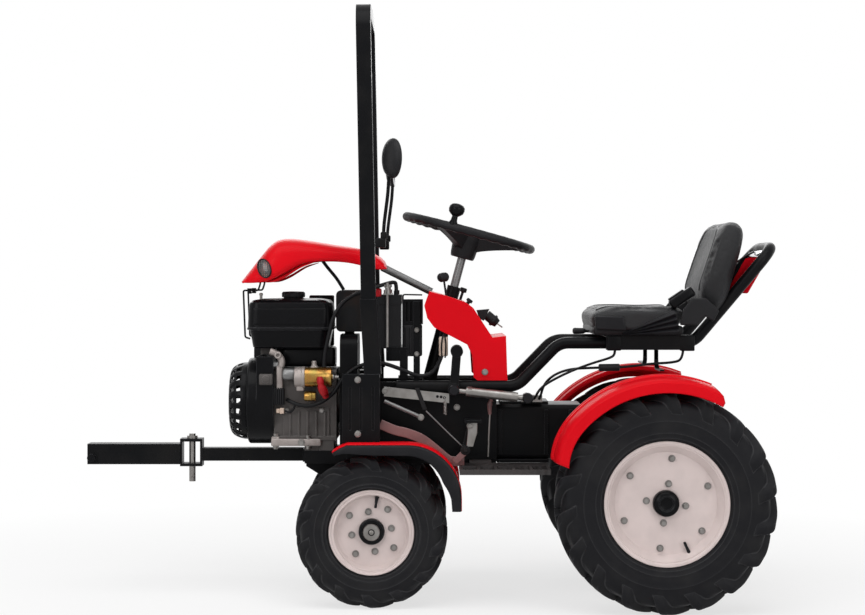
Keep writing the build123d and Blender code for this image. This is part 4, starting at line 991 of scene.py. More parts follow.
def hood_stays():
    """Bent wire at the front, folded strut behind the tank and the tube back to the dash."""
    wire = [(498, 70, 716), (512, 70, 720), (517, 70, 850), (476, 70, 850), (470, 70, 868), (470, 70, 930)]
    collar = [(0, -9), (6, -9), (6.5, -5), (5, -3), (6.5, 0), (6.5, 6), (0, 6)]
    wires = join(tube(rounded_line(wire, 5), 2.6, 10), turned(collar, (500, 70, 850), UP, 16))
    piece("hood_wires", both_sides(wires), "black_paint", stands_for=["hood_stays"])
    strut = band(smooth_line([(241, 851), (262, 884), (292, 921), (333, 978)], 16), (-6, 6), 9)
    softened(piece("hood_strut", strut, "black_paint"))
    rail = tube([(133, 0, 915), (100, 0, 898.5), (50, 0, 873.5), (-6, 0, 845.5)], 10.8, 24)
    piece("hood_rail", rail, "steel_tube")


class TRACTOR_OT_hood(Step, bpy.types.Operator):
    """Build the hood with its inner lip, lamps and stays"""

    bl_idname = "tractor.hood"
    bl_label = "Hood"
    builders = (hood, hood_lip, hood_lamps, hood_stays)


# Fenders

# Front fender: radius of its bend; Y of its inner edge, of the sheet's outer edge and of the rubber
FENDER_BEND = 142.0
FENDER_Y = (198.0, 302.0, 320.0)
# Rear fender, in degrees from the top of the wheel: ends of the sheet, how far the skirt runs on at the
# tail, and where the front foot starts to draw in; then by how much
FENDER_ENDS = (69.4, -21.5)
FENDER_TAIL = 7.5
FOOT_FROM, FOOT_DRAW = 48.0, 17.0
# Height above the tyre, Y from its middle
REAR_SECTION = np.array(
    [(26, -80), (34, -80), (38, -77), (39.5, -66), (40, -54), (44, -50), (44, -38), (40, -34)]
    + [(40, -14), (44, -10), (44, 2), (40, 6), (40, 26), (39, 44), (36.5, 60), (32.5, 72)]
    + [(26, 79), (12, 80), (1.5, 80), (-0.5, 78)]
)


def front_fender_line():
    """Side view of the front fender: drop at the nose, flat top, quarter circle behind the wheel, tail."""
    low, high = node_box("front_fenders")
    front, top = high[0], high[2] - 1.5
    turn = np.radians(np.linspace(90, 180, 18))
    middle = np.array([low[0], top]) + (FENDER_BEND, -FENDER_BEND)
    fall = middle + FENDER_BEND * np.column_stack([np.cos(turn), np.sin(turn)])
    nose = [(front, top - 20), (front - 18, top - 8.5), (front - 38, top), (150, top)]
    return np.vstack([nose, fall, [(low[0], low[2])]])


def carried(line, out, y, rise):
    """Section of Y and rise, outwards, carried along a line of (X, Z)."""
    place = line[:, None] + rise[..., None] * out[:, None]
    return np.stack([place[..., 0], y + 0 * place[..., 0], place[..., 1]], -1)


def fender_sheets(end, skin):
    """Pressed sheets on both sides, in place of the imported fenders."""
    sheets = both_sides(grid(skin))
    obj = piece(f"{end}_fender_sheets", sheets, "red_paint", stands_for=[f"{end}_fenders"], closed=False)
    wall(obj, bpy.context.scene.tractor_sizes.fender_wall)


def front_fenders():
    """Sheet with a rolled inner edge, and a rubber section carried along its outer edge, deeper behind."""
    low, edge, high = FENDER_Y
    line = front_fender_line()
    run = unit(np.gradient(line, axis=0))
    out = np.column_stack([run[:, 1], -run[:, 0]])
    out *= np.sign(out[len(line) // 2, 1])
    across = np.array([(low, -6), (low, -1.5), (low + 2, 0), (240, 0.6), (edge, 0)])
    fender_sheets("front", carried(line, out, *across.T)[:, ::-1])
    section = np.array(
        [(edge, 1.4), (edge, -4), (high - 8, -7), (high - 7, -22), (high - 4, -25.5)]
        + [(high - 1, -24), (high, -4), (high - 3, 0.5), (high - 9, 1.5)]
    )
    share = np.linspace(0, 1, len(line))[:, None]
    deep = section[:, 1] * np.interp(share, [0, 0.12, 0.4, 0.75, 1], [0.3, 1, 1.15, 1.5, 0.9])
    rubber = solid(carried(line, out, section[:, 0], deep))
    piece("front_fender_edging", both_sides(rubber), "soft_rubber", crease=50)


def rear_fenders():
    """Section with two ribs carried round the wheel; the skirt runs on past the top at the tail, and the
    front foot draws in. A bent bar stays it from the frame."""
    centre, radius, _, _, _ = wheel_facts("rear")
    above, y = REAR_SECTION.T
    front, rear = np.radians(FENDER_ENDS)
    tail = rear - radians(FENDER_TAIL) * ((40 - above) / 20).clip(0, 1) * (y > 30)
    angle = front + np.linspace(0, 1, 72)[:, None] * (tail - front)
    foot = (np.degrees(angle) - FOOT_FROM) / (FENDER_ENDS[0] - FOOT_FROM)
    reach = radius + above - FOOT_DRAW * foot.clip(0, 1) ** 2
    skin = np.stack([reach * np.sin(angle), y + 0 * angle, reach * np.cos(angle)], -1)
    fender_sheets("rear", centre + skin)
    bends = np.array([(0, 143, 688), (0, 143, 650), (0, 164, 639), (0, 286, 640)]) + AHEAD * centre[0]
    stay = rounded_line(bends, (12, 8))
    bar = np.stack([stay + corner for corner in ((-6, 0, 0), (6, 0, 0), (6, 0, -4.5), (-6, 0, -4.5))], 1)
    softened(piece("rear_fender_stays", both_sides(solid(bar)), "black_paint"))


class TRACTOR_OT_fenders(Step, bpy.types.Operator):
    """Build the front fenders with rubber edging and the ribbed rear fenders"""

    bl_idname = "tractor.fenders"
    bl_label = "Fenders"
    builders = (front_fenders, rear_fenders)


# Seat

# Cushion from front to back, and back rest from bottom to top:
# middle X and Z, half thickness as X and Z, half width, bolster
PAD_ROWS = {
    "cushion": [
        (-438, 768, 4, 16, 176, 0.0),
        (-446, 768, 3, 28, 196, 0.05),
        (-470, 766, 1, 34, 206, 0.2),
        (-530, 765, 0, 34, 208, 0.45),
        (-600, 767, 0, 30, 208, 0.5),
        (-660, 774, -1, 25, 203, 0.45),
        (-690, 781, -4, 18, 190, 0.3),
        (-700, 784, -4, 12, 170, 0.0),
    ],
    "back": [
        (-760, 793, 15, 8, 150, 0.0),
        (-766, 804, 25, 12, 180, 0.15),
        (-777, 842, 32, 14, 196, 0.4),
        (-797, 908, 31, 12, 200, 0.5),
        (-817, 972, 30, 10, 197, 0.5),
        (-829, 1018, 28, 8, 186, 0.3),
        (-833, 1034, 22, 6, 165, 0.15),
        (-835, 1042, 13, 3, 145, 0.0),
    ],
}
# Lines near which the piping is sewn
PIPING = {
    "cushion": [(-446, 158, 812), (-480, 158, 812), (-540, 158, 812), (-620, 158, 808), (-680, 158, 806)],
    "back": [(-726, 150, 850), (-750, 152, 905), (-772, 148, 960)]
    + [(-790, 120, 1010), (-800, 60, 1030), (-802, 0, 1033)],
}
# Furthest that air moves a pad's skin
PAD_RISE = 7.0
# Cloth settings that fill a pad with air
PADDING = {
    "use_pressure": True,
    "uniform_pressure_force": 4.0,
    "tension_stiffness": 12.0,
    "compression_stiffness": 12.0,
    "bending_stiffness": 1.0,
}


def puffed(obj, cap, frames=20, voxel=0.005):
    """Fills a padded skin with air: even small faces, cloth under pressure with no weight for a few
    steps, and no point moved further than the cap, in millimetres."""
    remesh = obj.modifiers.new("Even", "REMESH")
    remesh.mode = "VOXEL"
    remesh.voxel_size = voxel
    view = bpy.context.evaluated_depsgraph_get()
    mesh = bpy.data.meshes.new_from_object(obj.evaluated_get(view))
    obj.modifiers.clear()
    obj.data = mesh
    count = len(mesh.vertices)
    rest = np.empty(count * 3, np.float32)
    mesh.vertices.foreach_get("co", rest)
    cloth = obj.modifiers.new("Padding", "CLOTH")
    for key, value in PADDING.items():
        setattr(cloth.settings, key, value)
    cloth.settings.effector_weights.gravity = 0.0
    scene = bpy.context.scene
    for step in range(1, frames + 1):
        scene.frame_set(step)
    moved = np.empty(count * 3, np.float32)
    obj.evaluated_get(bpy.context.evaluated_depsgraph_get()).data.vertices.foreach_get("co", moved)
    obj.modifiers.clear()
    scene.frame_set(1)
    shift = (moved - rest).reshape(-1, 3)
    far = np.linalg.norm(shift, axis=1, keepdims=True)
    shift *= np.minimum(1, cap * MM / np.maximum(far, 1e-9))
    mesh.vertices.foreach_set("co", (rest.reshape(-1, 3) + shift).ravel())
    mesh.shade_smooth()
    fine = obj.modifiers.new("Fine", "SUBSURF")
    fine.levels = fine.render_levels = 1
    return obj


def pad(stations, count=40, across=0.3, up=0.55, steps=72):
    """Closed pad: each station gives the middle, an upward half vector and a half width in Y; round it a
    flattened circle is drawn, raised at the sides by the station's bolster."""
    rows = smooth_line(stations, count)[:, None, :]
    angle = circle(steps)
    wide = flattened(np.cos(angle), across)
    tall = flattened(np.sin(angle), up)
    lift = tall + (tall > 0) * (rows[..., 5] * abs(wide) ** 5 - 0.12 * (1 - wide**2))
    x = rows[..., 0] + rows[..., 2] * lift
    z = rows[..., 1] + rows[..., 3] * lift
    return solid(np.stack([x, rows[..., 4] * wide, z], -1))


def seat_pads():
    """Padded cushion and back, with piping whose points are drawn to the nearest place on the skin."""
    pads = {
        part: piece(f"seat_{part}_pad", pad(rows), "vinyl", stands_for=[f"seat_{part}"], crease=80)
        for part, rows in PAD_ROWS.items()
    }
    for obj in pads.values():
        puffed(obj, PAD_RISE)
    view = bpy.context.evaluated_depsgraph_get()
    for part, points in PIPING.items():
        skin = BVHTree.FromObject(pads[part], view)
        laid = np.array([skin.find_nearest(Vector(p * MM))[0] for p in smooth_line(points, 60)]) / MM
        piece(f"{part}_piping", both_sides(tube(laid, 2.0, 8)), "soft_rubber")


def seat_shell():
    """Hinge covers and panels at the sides, pan under the cushion, belt socket, lever and lamp wire."""
    cover = [(-688, 800), (-713, 830), (-749, 831), (-785, 797)]
    under = [(-678, 757), (-724, 757), (-746, 782), (-768, 766)]
    softened(piece("seat_hinges", both_sides(slab(cover, under, (204, 217))), "plastic_black"), 4, 3)
    high = node_box("seat_base")[1][2]
    piece("seat_pan", rounded_box((-690, -198, high), (-446, 198, high + 26), 9), "plastic_black")
    panel = slab([(-448, 782), (-526, 780)], [(-452, 745), (-534, 741)], (200, 211))
    softened(piece("seat_sides", both_sides(panel), "soft_rubber"), 4, 3)
    axes = (unit(np.array([-0.83, 0, 0.56])), LEFT, unit(np.array([0.56, 0, 0.83])))
    body = rounded_box((-40, -16, -15), (34, 16, 13), 7)
    button = rounded_box((-36, -12, 10), (12, 12, 18), 3)
    piece("belt_socket", leaned(join(body, button), (-690, 176, 833), axes), "gloss_black")
    lever = [(-440, 120, 738), (-425, 120, 739), (-406, 120, 739), (-394, 120, 739)]
    knob = ([0, 0.2, 0.35, 0.8, 0.95, 1], [4, 4, 8, 9, 7.5, 3])
    piece("seat_lever", pipe(lever, 20, knob, 16), "plastic_black")
    wire = [(-836, 0, 914), (-858, 0, 925), (-886, 0, 944), (-914, 0, 958)]
    piece("lamp_wire", pipe(wire, 18, 2.4, 8), "sheath")


def seat_bellows():
    """Pleated cover beside the cushion: a fan from the front whose surface folds in and out."""
    share = np.linspace(0, 1, 61)[None]
    turn = np.radians(1 + 23 * share)
    reach = np.linspace(12, 164, 16)[:, None]
    fold = 8 * abs((4 * share + 0.5) % 1 - 0.5) * (reach / 164) ** 0.5
    high = node_box("seat_base")[1][2]
    x, z = -514 - reach * np.cos(turn), high + reach * np.sin(turn)
    sheet = np.stack([x, 203 + 2 * fold, z], -1)
    ring = np.concatenate([sheet, (sheet * (1, 0, 1) + (0, 60, 0))[::-1]])
    piece("seat_bellows", both_sides(solid(ring.transpose(1, 0, 2))), "soft_rubber", crease=25)


class TRACTOR_OT_seat(Step, bpy.types.Operator):
    """Build the padded cushion and back, the hinge covers, the bellows and the lever"""

    bl_idname = "tractor.seat"
    bl_label = "Seat"
    builders = (seat_pads, seat_shell, seat_bellows)


# Steering wheel

# Rim: radius of the ring and of its section, number and depth of the finger grips
WHEEL_RADIUS, RIM_RADIUS = 180.0, 12.0
GRIPS, GRIP_DEPTH = 34, 1.5
# Angle of the spinner knob on the rim, in degrees
KNOB_TURN = -16.0


def wheel_rim():
    """Ring whose section is a circle, pressed in between finger grips on the inner and lower side."""
    turn, section = circle(168)[:, None], circle(20)[None]
    thick = RIM_RADIUS + GRIP_DEPTH * np.cos(GRIPS * turn) * (0.5 - 0.5 * np.cos(section - 0.8))
    r = WHEEL_RADIUS + thick * np.cos(section)
    ring = np.stack([r * np.cos(turn), r * np.sin(turn), thick * np.sin(section)], -1)
    return grid(ring, wrap_rows=True, wrap_cols=True)


def wheel_hub():
    """Cup under the wheel with a shallow cap on top."""
    profile = [(0, -74), (30, -74), (33, -72), (35, -64), (38, -30), (41, -8)]
    return turned(profile + [(40, 0), (34, 4), (20, 6.5), (0, 7)], (0, 0, 0), UP, 48)


def wheel_spoke(turn):
    """Arm from the hub to the rim, wide at the hub, hollowed from below."""
    t = np.linspace(0, 1, 14)
    run = 24 + t * 148
    half = 26 - 13 * np.sin(t * pi / 2)
    top = 3 - 2 * t
    foot = -56 + 50 * t**0.7
    corners = [(half, top - 3), (half * 0.8, top), (-half * 0.8, top), (-half, top - 3)]
    corners += [(-half * 0.5, foot), (half * 0.5, foot)]
    points, faces = solid(np.stack([np.column_stack([x, run, z]) for x, z in corners], 1))
    return points @ np.array([(cos(turn), sin(turn), 0), (-sin(turn), cos(turn), 0), (0, 0, 1)]), faces


def steering():
    """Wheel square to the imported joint's axis, its middle halfway between the solid's ends in X; shaft
    below it and spinner knob on its rim."""
    joint = next(j for j in frame["joints"] if j["name"] == "steering_wheel_turn")
    axis = unit(np.array(joint["axis"], float))
    axes = (LEFT, np.cross(axis, LEFT), axis)
    hub_at = np.array(joint["pos_m"]) / MM
    low, high = node_box("steering_wheel")
    crown = hub_at + axis * ((low + high)[0] / 2 - hub_at[0]) / axis[0]
    parts = join(wheel_rim(), wheel_hub(), *[wheel_spoke(turn) for turn in circle(3)])
    wheel = leaned(parts, crown, axes)
    piece("steering_wheel_rim", wheel, "plastic_black", "steering_wheel", ["steering_wheel"])
    shaft = tube([crown - axis * below for below in (330, 200, 60)], 11.9, 24)
    piece("steering_shaft", shaft, "steel_tube", "steering_wheel")
    knob = [(0, 4), (11, 4), (12, 12), (9, 18), (8, 30), (14, 34), (20, 40), (22, 48)]
    knob += [(21, 56), (16, 62), (8, 65), (0, 65.5)]
    turn = radians(KNOB_TURN)
    spinner = turned(knob, (WHEEL_RADIUS * cos(turn), WHEEL_RADIUS * sin(turn), 0), UP, 28)
    piece("spinner_knob", leaned(spinner, crown, axes), "gloss_black", "steering_wheel")


class TRACTOR_OT_steering(Step, bpy.types.Operator):
    """Build the steering wheel with finger grips, spokes, hub and spinner knob"""

    bl_idname = "tractor.steering"
    bl_label = "Steering wheel"
    builders = (steering,)


# Engine

# Middle of the tank at its seam
TANK_MIDDLE = np.array([386.0, 5.0, 744.0])
# Tank from foot to crown: height above the seam, half length, half width, corner radius
TANK_LEVELS = (
    *((-54, 60, 50, 20), (-54, 100, 88, 24), (-50, 104, 92, 26), (-20, 109, 98, 30), (-4, 113, 101, 32)),
    *((-2.5, 120, 106, 36), (2.5, 120, 106, 36), (4, 118, 103, 32), (30, 117, 101, 30), (62, 115, 99, 28)),
    *((72, 112, 96, 26), (79, 104, 88, 24), (83, 80, 64, 20), (84, 40, 30, 16)),
)
# Starter's axis, along X
STARTER = np.array([0, 123.2, 612.0])


def tank():
    """Stack of rounded rectangles: narrow foot, flange at the seam, upright shoulder, low crown."""
    rings = [np.insert(rounded_rect(hx, hy, r), 2, z, axis=1) for z, hx, hy, r in TANK_LEVELS]
    shell = solid(np.stack(rings) + TANK_MIDDLE)
    piece("tank_shell", shell, "gloss_black", stands_for=["fuel_tank"], crease=30)
    tank_panel()
    cap = [(0, 80), (27, 80), (27, 86), (31.5, 87), (32, 90), (32, 98), (29, 102), (12, 103), (0, 102)]
    lid = turned(cap, TANK_MIDDLE + (-4, 5, 0), UP, 96, ripple=(24, 0.7))
    piece("tank_cap", lid, "plastic_black")
    stud = [(0, 60), (4, 60), (4, 92), (5.5, 92), (5.5, 97), (3, 99), (0, 99)]
    piece("tank_stud", turned(stud, TANK_MIDDLE + (84, 40, 0), UP, 14), "zinc")


def tank_panel():
    """Raised panel on the tank's left face: flat in the middle, falling off by high powers at its edges."""
    u = np.linspace(-1, 1, 41)[:, None]
    v = np.linspace(-1, 1, 21)[None]
    plateau = (3.6 * (1 - np.maximum(abs(u) ** 14, abs(v) ** 8))).clip(-0.6, 2.4)
    height = 34 + 24 * v
    face = 101 - 0.06 * (height - 30) + plateau
    panel = np.stack([99 * u + 0 * v, face, height + 0 * u], -1)
    plate = np.concatenate([panel, (panel - (0, 8, 0))[::-1]]).transpose(1, 0, 2)
    piece("tank_panel", solid(plate + TANK_MIDDLE), "gloss_black", crease=50)


def recoil_guard(steps=120):
    """Dished cover over the flywheel: a profile turned round the crank, with rows of slots left open."""
    low, high = node_box("recoil_guard")
    foot = np.array([low[0], 0, (low[2] + high[2]) / 2])
    # radius, share of the depth
    dish = [(108, 0), (107.5, 0.2), (105, 0.45), (98, 0.75), (87, 0.94), (74, 1.0), (56, 0.99)]
    dish += [(40, 0.96), (22, 0.95), (2, 0.95)]
    points, faces = turned(smooth_line(dish, 46) * (1, high[0] - low[0]), foot, AHEAD, steps)
    row, col = np.divmod(np.arange(len(faces)), steps)
    slot = (col % 6 < 3) & (row % 7 < 5) & (row > 4) & (row < 27)
    slot |= (col % 12 < 5) & (row % 6 < 3) & (row >= 29) & (row < 41)
    skin = (points, faces[~slot])
    cover = piece("recoil_cover", skin, "gloss_black", stands_for=["recoil_guard"], closed=False)
    wall(cover, 0.002)
    disc = turned([(0, 2), (100, 2), (100, 8), (30, 8), (26, 20), (0, 20)], foot, AHEAD)
    fin = rounded_box((7, 50, -1.5), (22, 92, 1.5), 1)
    fins = [leaned(fin, foot, [(1, 0, 0), (0, cos(a), sin(a)), (0, -sin(a), cos(a))]) for a in circle(18)]
    piece("flywheel_fan", join(disc, *fins), "cast_alloy")


def starter():
    """Turned shells along X: gold body, pale clamp, steel drive end, and the solenoid below."""
    body = [(0, 266), (9, 266), (9, 268), (25, 268), (27, 270), (27, 281), (26.2, 282), (26.2, 284)]
    body += [(27, 285), (27, 342), (0, 342)]
    piece("starter_body", turned(body, STARTER, AHEAD, 48), "gold_zinc", stands_for=["starter_motor"])
    clamp = [(0, 342), (28, 342), (29.5, 343), (29.5, 350), (27.5, 352), (27.5, 369), (26, 371), (0, 371)]
    tab = rounded_box((345, 112, 574), (366, 132, 592), 3)
    piece("starter_clamp", join(turned(clamp, STARTER, AHEAD, 48), tab), "pale_alloy")
    drive = [(0, 371), (15, 371), (16.5, 374), (16.5, 398), (13, 403), (0, 403)]
    piece("starter_drive", turned(drive, STARTER + (0, 0, 8), AHEAD, 36), "steel_tube")
    shell = [(0, 312), (11, 312), (13, 314), (13.5, 322), (12.6, 323), (13.5, 324)]
    shell += [(13.5, 342), (12, 344), (0, 344)]
    piece("solenoid", turned(shell, (0, 122, 559.5), AHEAD, 36), "gold_zinc")
    terminal = [(0, 250), (4, 250), (4, 255), (6, 255), (6, 260), (9, 262), (9, 266), (0, 266)]
    piece("starter_terminal", turned(terminal, STARTER, AHEAD, 12), "zinc")
    boot = [(300, 152, 614), (298, 154, 600), (295, 152, 585), (288, 146, 570), (284, 138, 558)]
    swell = ([0, 0.2, 0.4, 0.5, 0.7, 1], [7, 10, 8.5, 11.5, 12, 8])
    piece("terminal_boot", pipe(boot, 20, swell, 18), "red_rubber")


def engine_fittings():
    """Small parts on the engine: throttle bracket, sensor, ribbed block, plug, leads, foot and shields."""
    piece("crankcase_bolts", copies(hex_bolt(LEFT, 10, 5, 7), [(298, 100, 518), (394, 100, 518)]), "zinc")
    strap = rounded_box((404, 100, 576), (423, 114, 643), 5)
    elbow = [(410, 108, 640), (408, 108, 654), (414, 108, 668), (430, 108, 678), (440, 108, 682)]
    ring = [(5, 0), (9, 0), (10, 2), (10, 12), (8, 14), (5, 14), (4, 6)]
    boss = turned(ring, (417, 112, 672), LEFT, 20, wrap=True)
    piece("throttle_bracket", join(strap, pipe(elbow, 18, 10, 18), boss), "pale_alloy")
    sensor = turned([(0, 0), (10, 0), (10.5, 2), (10.5, 5), (8, 6), (0, 6)], (450, 130, 606), LEFT, 24)
    piece("sensor_plate", join(rounded_box((431, 112, 590), (469, 131, 621), 5), sensor), "cast_alloy")
    ribs = [rounded_box((x, 96, 534), (x + 4, 117, 582), 1.5) for x in range(402, 427, 6)]
    block = join(rounded_box((400, 92, 536), (432, 113, 580), 3), *ribs)
    piece("regulator_block", block, "plastic_black")
    shell = rounded_box((401, 100, 510), (413, 114, 526), 2)
    nose = rounded_box((413, 102, 512), (423, 112, 524), 2)
    piece("plug", join(shell, nose), "pale_plastic")
    leads = [
        [(470, 70, 668), (452, 86, 672), (440, 92, 660), (446, 96, 640)],
        [(478, 60, 660), (462, 84, 656), (450, 96, 648), (436, 100, 650)],
        [(398, 106, 518), (386, 112, 514), (376, 114, 522), (368, 110, 540)],
    ]
    piece("engine_leads", join(*[pipe(line, 20, 3.2, 8) for line in leads]), "sheath")
    bar = rounded_box((299, 92, 421), (437, 112, 441), 3)
    lug = rounded_box((414, 94, 438), (436, 111, 447), 3)
    piece("engine_foot", join(bar, lug), "pale_alloy")
    studs = copies(hex_bolt(UP, 12, 8, 9), [(424, 102, 446), (334, 104, 441)])
    nuts = copies(hex_bolt(-UP, 12, 7, 9), [(424, 102, 421), (334, 104, 421)])
    piece("foot_bolts", join(studs, nuts, copies(hex_bolt(LEFT, 14, 5, 10), (353, 112, 431))), "zinc")
    piece("air_shroud", rounded_box((263, -60, 638), (408, 68, 692), 8), "gloss_black")
    piece("heat_shield", rounded_box((274, -125, 690), (345, -107, 835), 4), "heat_black")
    spout = turned([(0, 0), (9, 0), (9, 4), (7, 5), (7, 14), (5, 16), (0, 16)], (318, 108, 640), UP, 12)
    piece("breather", join(spout, rounded_box((306, 98, 628), (330, 118, 641), 4)), "pale_alloy")


class TRACTOR_OT_engine(Step, bpy.types.Operator):
    """Build the fuel tank, recoil guard, starter and the small engine fittings"""

    bl_idname = "tractor.engine"
    bl_label = "Engine"
    builders = (tank, recoil_guard, starter, engine_fittings)


# Dash, battery, mirrors, lamp, pedals and links

# Mirror: turn from straight back, in degrees, and the middle of its glass, both as if on the left side
MIRRORS = {"left": (24, (98, 262, 1206)), "right": (4, (108, 262, 1206))}
MIRROR_HALF = (55.0, 54.0)


def mirror_pair(rows):
    """Left and right mirror as ovals of (share of the size, distance along the mirror's axis)."""
    ring = circle(48)[:, None]
    pair = []
    for hand, side in SIDES:
        angle, spot = MIRRORS[hand]
        out = np.array([-cos(radians(angle)), -sin(radians(angle)), 0.0])
        rim = np.cos(ring) * np.cross(UP, out) * MIRROR_HALF[0] + np.sin(ring) * UP * MIRROR_HALF[1]
        pair.append(handed(solid(np.stack([spot + rim * size + out * far for size, far in rows])), side))
    return join(*pair)


def mirrors():
    """Domed head behind an oval glass on a bent stalk, clamped to the hoop; the right one looks back."""
    shell = [(0.94, 3.5), (0.985, 4), (1.0, 2), (1.0, -2), (0.96, -7), (0.84, -13), (0.6, -18), (0.3, -20.5)]
    piece("mirror_shells", mirror_pair(shell), "plastic_black", stands_for=["mirrors"])
    piece("mirror_glass", mirror_pair([(0.93, 2.0), (0.93, 4.2), (0.5, 4.4)]), "mirror_glass")
    stalk = [(124, 226, 985), (122, 232, 1030), (112, 244, 1110), (108, 254, 1170), (105, 260, 1200)]
    clamp = rounded_box((118, 206, 967), (146, 236, 993), 4)
    collar = turned([(0, 0), (8, 0), (9, 3), (9, 16), (7, 19), (0, 19)], (123, 229, 990), UP, 18)
    piece("mirror_stalks", both_sides(join(pipe(stalk, 30, 4.8, 14), clamp, collar)), "black_paint")


def tail_lamp():
    """Red lens box with a plated cup on top, in the plane of the rear hoop."""
    low, high = node_box("tail_lamp")
    lean = unit(np.array([-0.5, 0, 0.866]))
    axes = (np.cross(LEFT, lean), LEFT, lean)
    half = (high - low)[1] / 2 - 1
    middle = (low + high) / 2 - (15, 0, 0)
    lens = rounded_box((-13, -half, -62), (9, half, 45), 6)
    piece("tail_lens", leaned(lens, middle, axes), "tail_glass", stands_for=["tail_lamp"])
    cup = rounded_box((-15, -half, 45), (11, half, 67), 7)
    piece("tail_cup", leaned(cup, middle, axes), "chrome")


def straps():
    """S-curved flat straps from the roll brackets down to the footrests."""
    points = [(134, 488), (96, 472), (57, 462), (19, 446), (-20, 416), (-52, 390), (-74, 387), (-95, 387)]
    strap = band(smooth_line(points, 60), (188, 193), 26)
    softened(piece("strap_bars", both_sides(strap), "strap_with_painted_reflection", stands_for=["straps"]), 1.5)


def battery():
    """Wing nuts on the clamp rods, a red terminal cap, a bent wire, the tray and the ribbed relay box."""
    nut = turned([(0, -6), (6.5, -6), (6.5, 0), (4.5, 2), (4.5, 6), (0, 6)], (0, 0, 0), UP, 14)
    wing = rounded_box((-9, -1.7, 0), (9, 1.7, 8), 1.6)
    piece("clamp_nuts", copies(join(nut, wing), [(116, 110, 858), (116, -70, 858)]), "zinc")
    piece("terminal_cap", rounded_box((132, 84, 832), (152, 104, 856), 5), "red_rubber")
    wire = rounded_line([(73, 106, 697), (73, 106, 839), (20, 106, 838)], 6)
    piece("battery_wire", tube(wire, 2.2, 10), "black_paint")
    piece("battery_tray", rounded_box((77, 60, 655), (120, 104, 694), 4), "black_paint")
    ribs = [rounded_box((x, 96, 676), (x + 5, 104, 750), 2) for x in range(26, 63, 12)]
    piece("relay_box", join(rounded_box((20, 74, 668), (75, 100, 757), 5), *ribs), "plastic_black")


def dash():
    """Pale plug with its leads under the dash; lobed knob, buttons and key switch on the dash."""
    piece("dash_plug", rounded_box((-51, 132, 670), (-26, 147, 724), 5), "pale_plastic")
    leads = [
        [(-34, 146, 664), (-33, 149, 700), (-38, 147, 728), (-46, 132, 744)],
        [(-43, 146, 666), (-45, 149, 696), (-43, 147, 722), (-36, 132, 742)],
    ]
    piece("dash_leads", join(*[pipe(line, 16, 2.2, 8) for line in leads]), "sheath")
    foot, top = np.array([-46.0, 92, 837]), np.array([-39.0, 92, 887])
    star = [(0, -13), (8, -13), (13, -9), (16, -3), (16, 3), (13, 9), (8, 12), (0, 13)]
    press = [(0, 0), (5, 0), (5, 6), (9, 6), (9, 13), (7, 15), (0, 15)]
    pull = [(0, 0), (4, 0), (4, 22), (10, 24), (10, 34), (8, 36), (0, 36)]
    barrel = [(0, 0), (14, 0), (14, 20), (17, 22), (17, 27), (14, 29), (11, 39), (0, 39)]
    switches = join(
        tube([foot, (foot + top) / 2, top], 3, 10),
        turned(star, top, top - foot, 60, ripple=(5, 1.8)),
        turned(press, (-104.6, 118, 814), (-0.588, 0, 0.809), 24),
        turned(pull, (-87.6, -90, 822), (-0.311, 0, 0.951), 24),
        turned(barrel, (-158, 92, 783), (-30, 0, -25), 32),
        slab([(-130, 796), (-166, 799)], [(-138, 772), (-150, 766)], (80, 104)),
    )
    piece("dash_switches", switches, "plastic_black", stands_for=["dash_controls"])
    piece("key", tube([(-187, 92, 759), (-195, 92, 753), (-202, 92, 748)], 2, 8), "zinc")


def clutch():
    """Dark discs painted on the flat bar where its holes are, as painted shade; lever, rods, return spring
    and pivots on the left side plate.
    """
    # painted shade: thin black discs on the bar stand in for the dark of its holes
    hole_shade_disc = turned([(0, 0), (4, 0), (4, 0.6), (0, 0.6)], (0, 0, 0), LEFT, 16)
    piece("bar_hole_shade_discs", copies(hole_shade_disc, [(-22, 165, 561), (-32, 165, 560), (-41, 165, 558)]), "black_paint")
    lever = slab([(40, 585), (18, 525)], [(28, 585), (6, 525)], (166, 171))
    piece("clutch_lever", lever, "heat_black")
    thin = tube([(9, 169, 522), (-45, 174, 469), (-100, 178, 416)], 2.2, 8)
    thick = tube([(123, 168, 549), (73, 168, 527), (23, 168, 505)], 5.5, 14)
    piece("clutch_rods", join(thin, thick), "steel_tube")
    coil = helix((-43, 169, 546), (-43, 169, 512), 5, 9, 1.1)
    hook = tube([(-41, 168, 560), (-43, 169, 552), (-43, 169, 546)], 1.1, 6)
    piece("return_spring", join(coil, hook), "zinc")
    pivots = copies(hex_bolt(LEFT, 12, 5, 9), [(121, 165, 576), (23, 173, 505), (-110, 209, 485)])
    piece("pivot_bolts", pivots, "zinc")


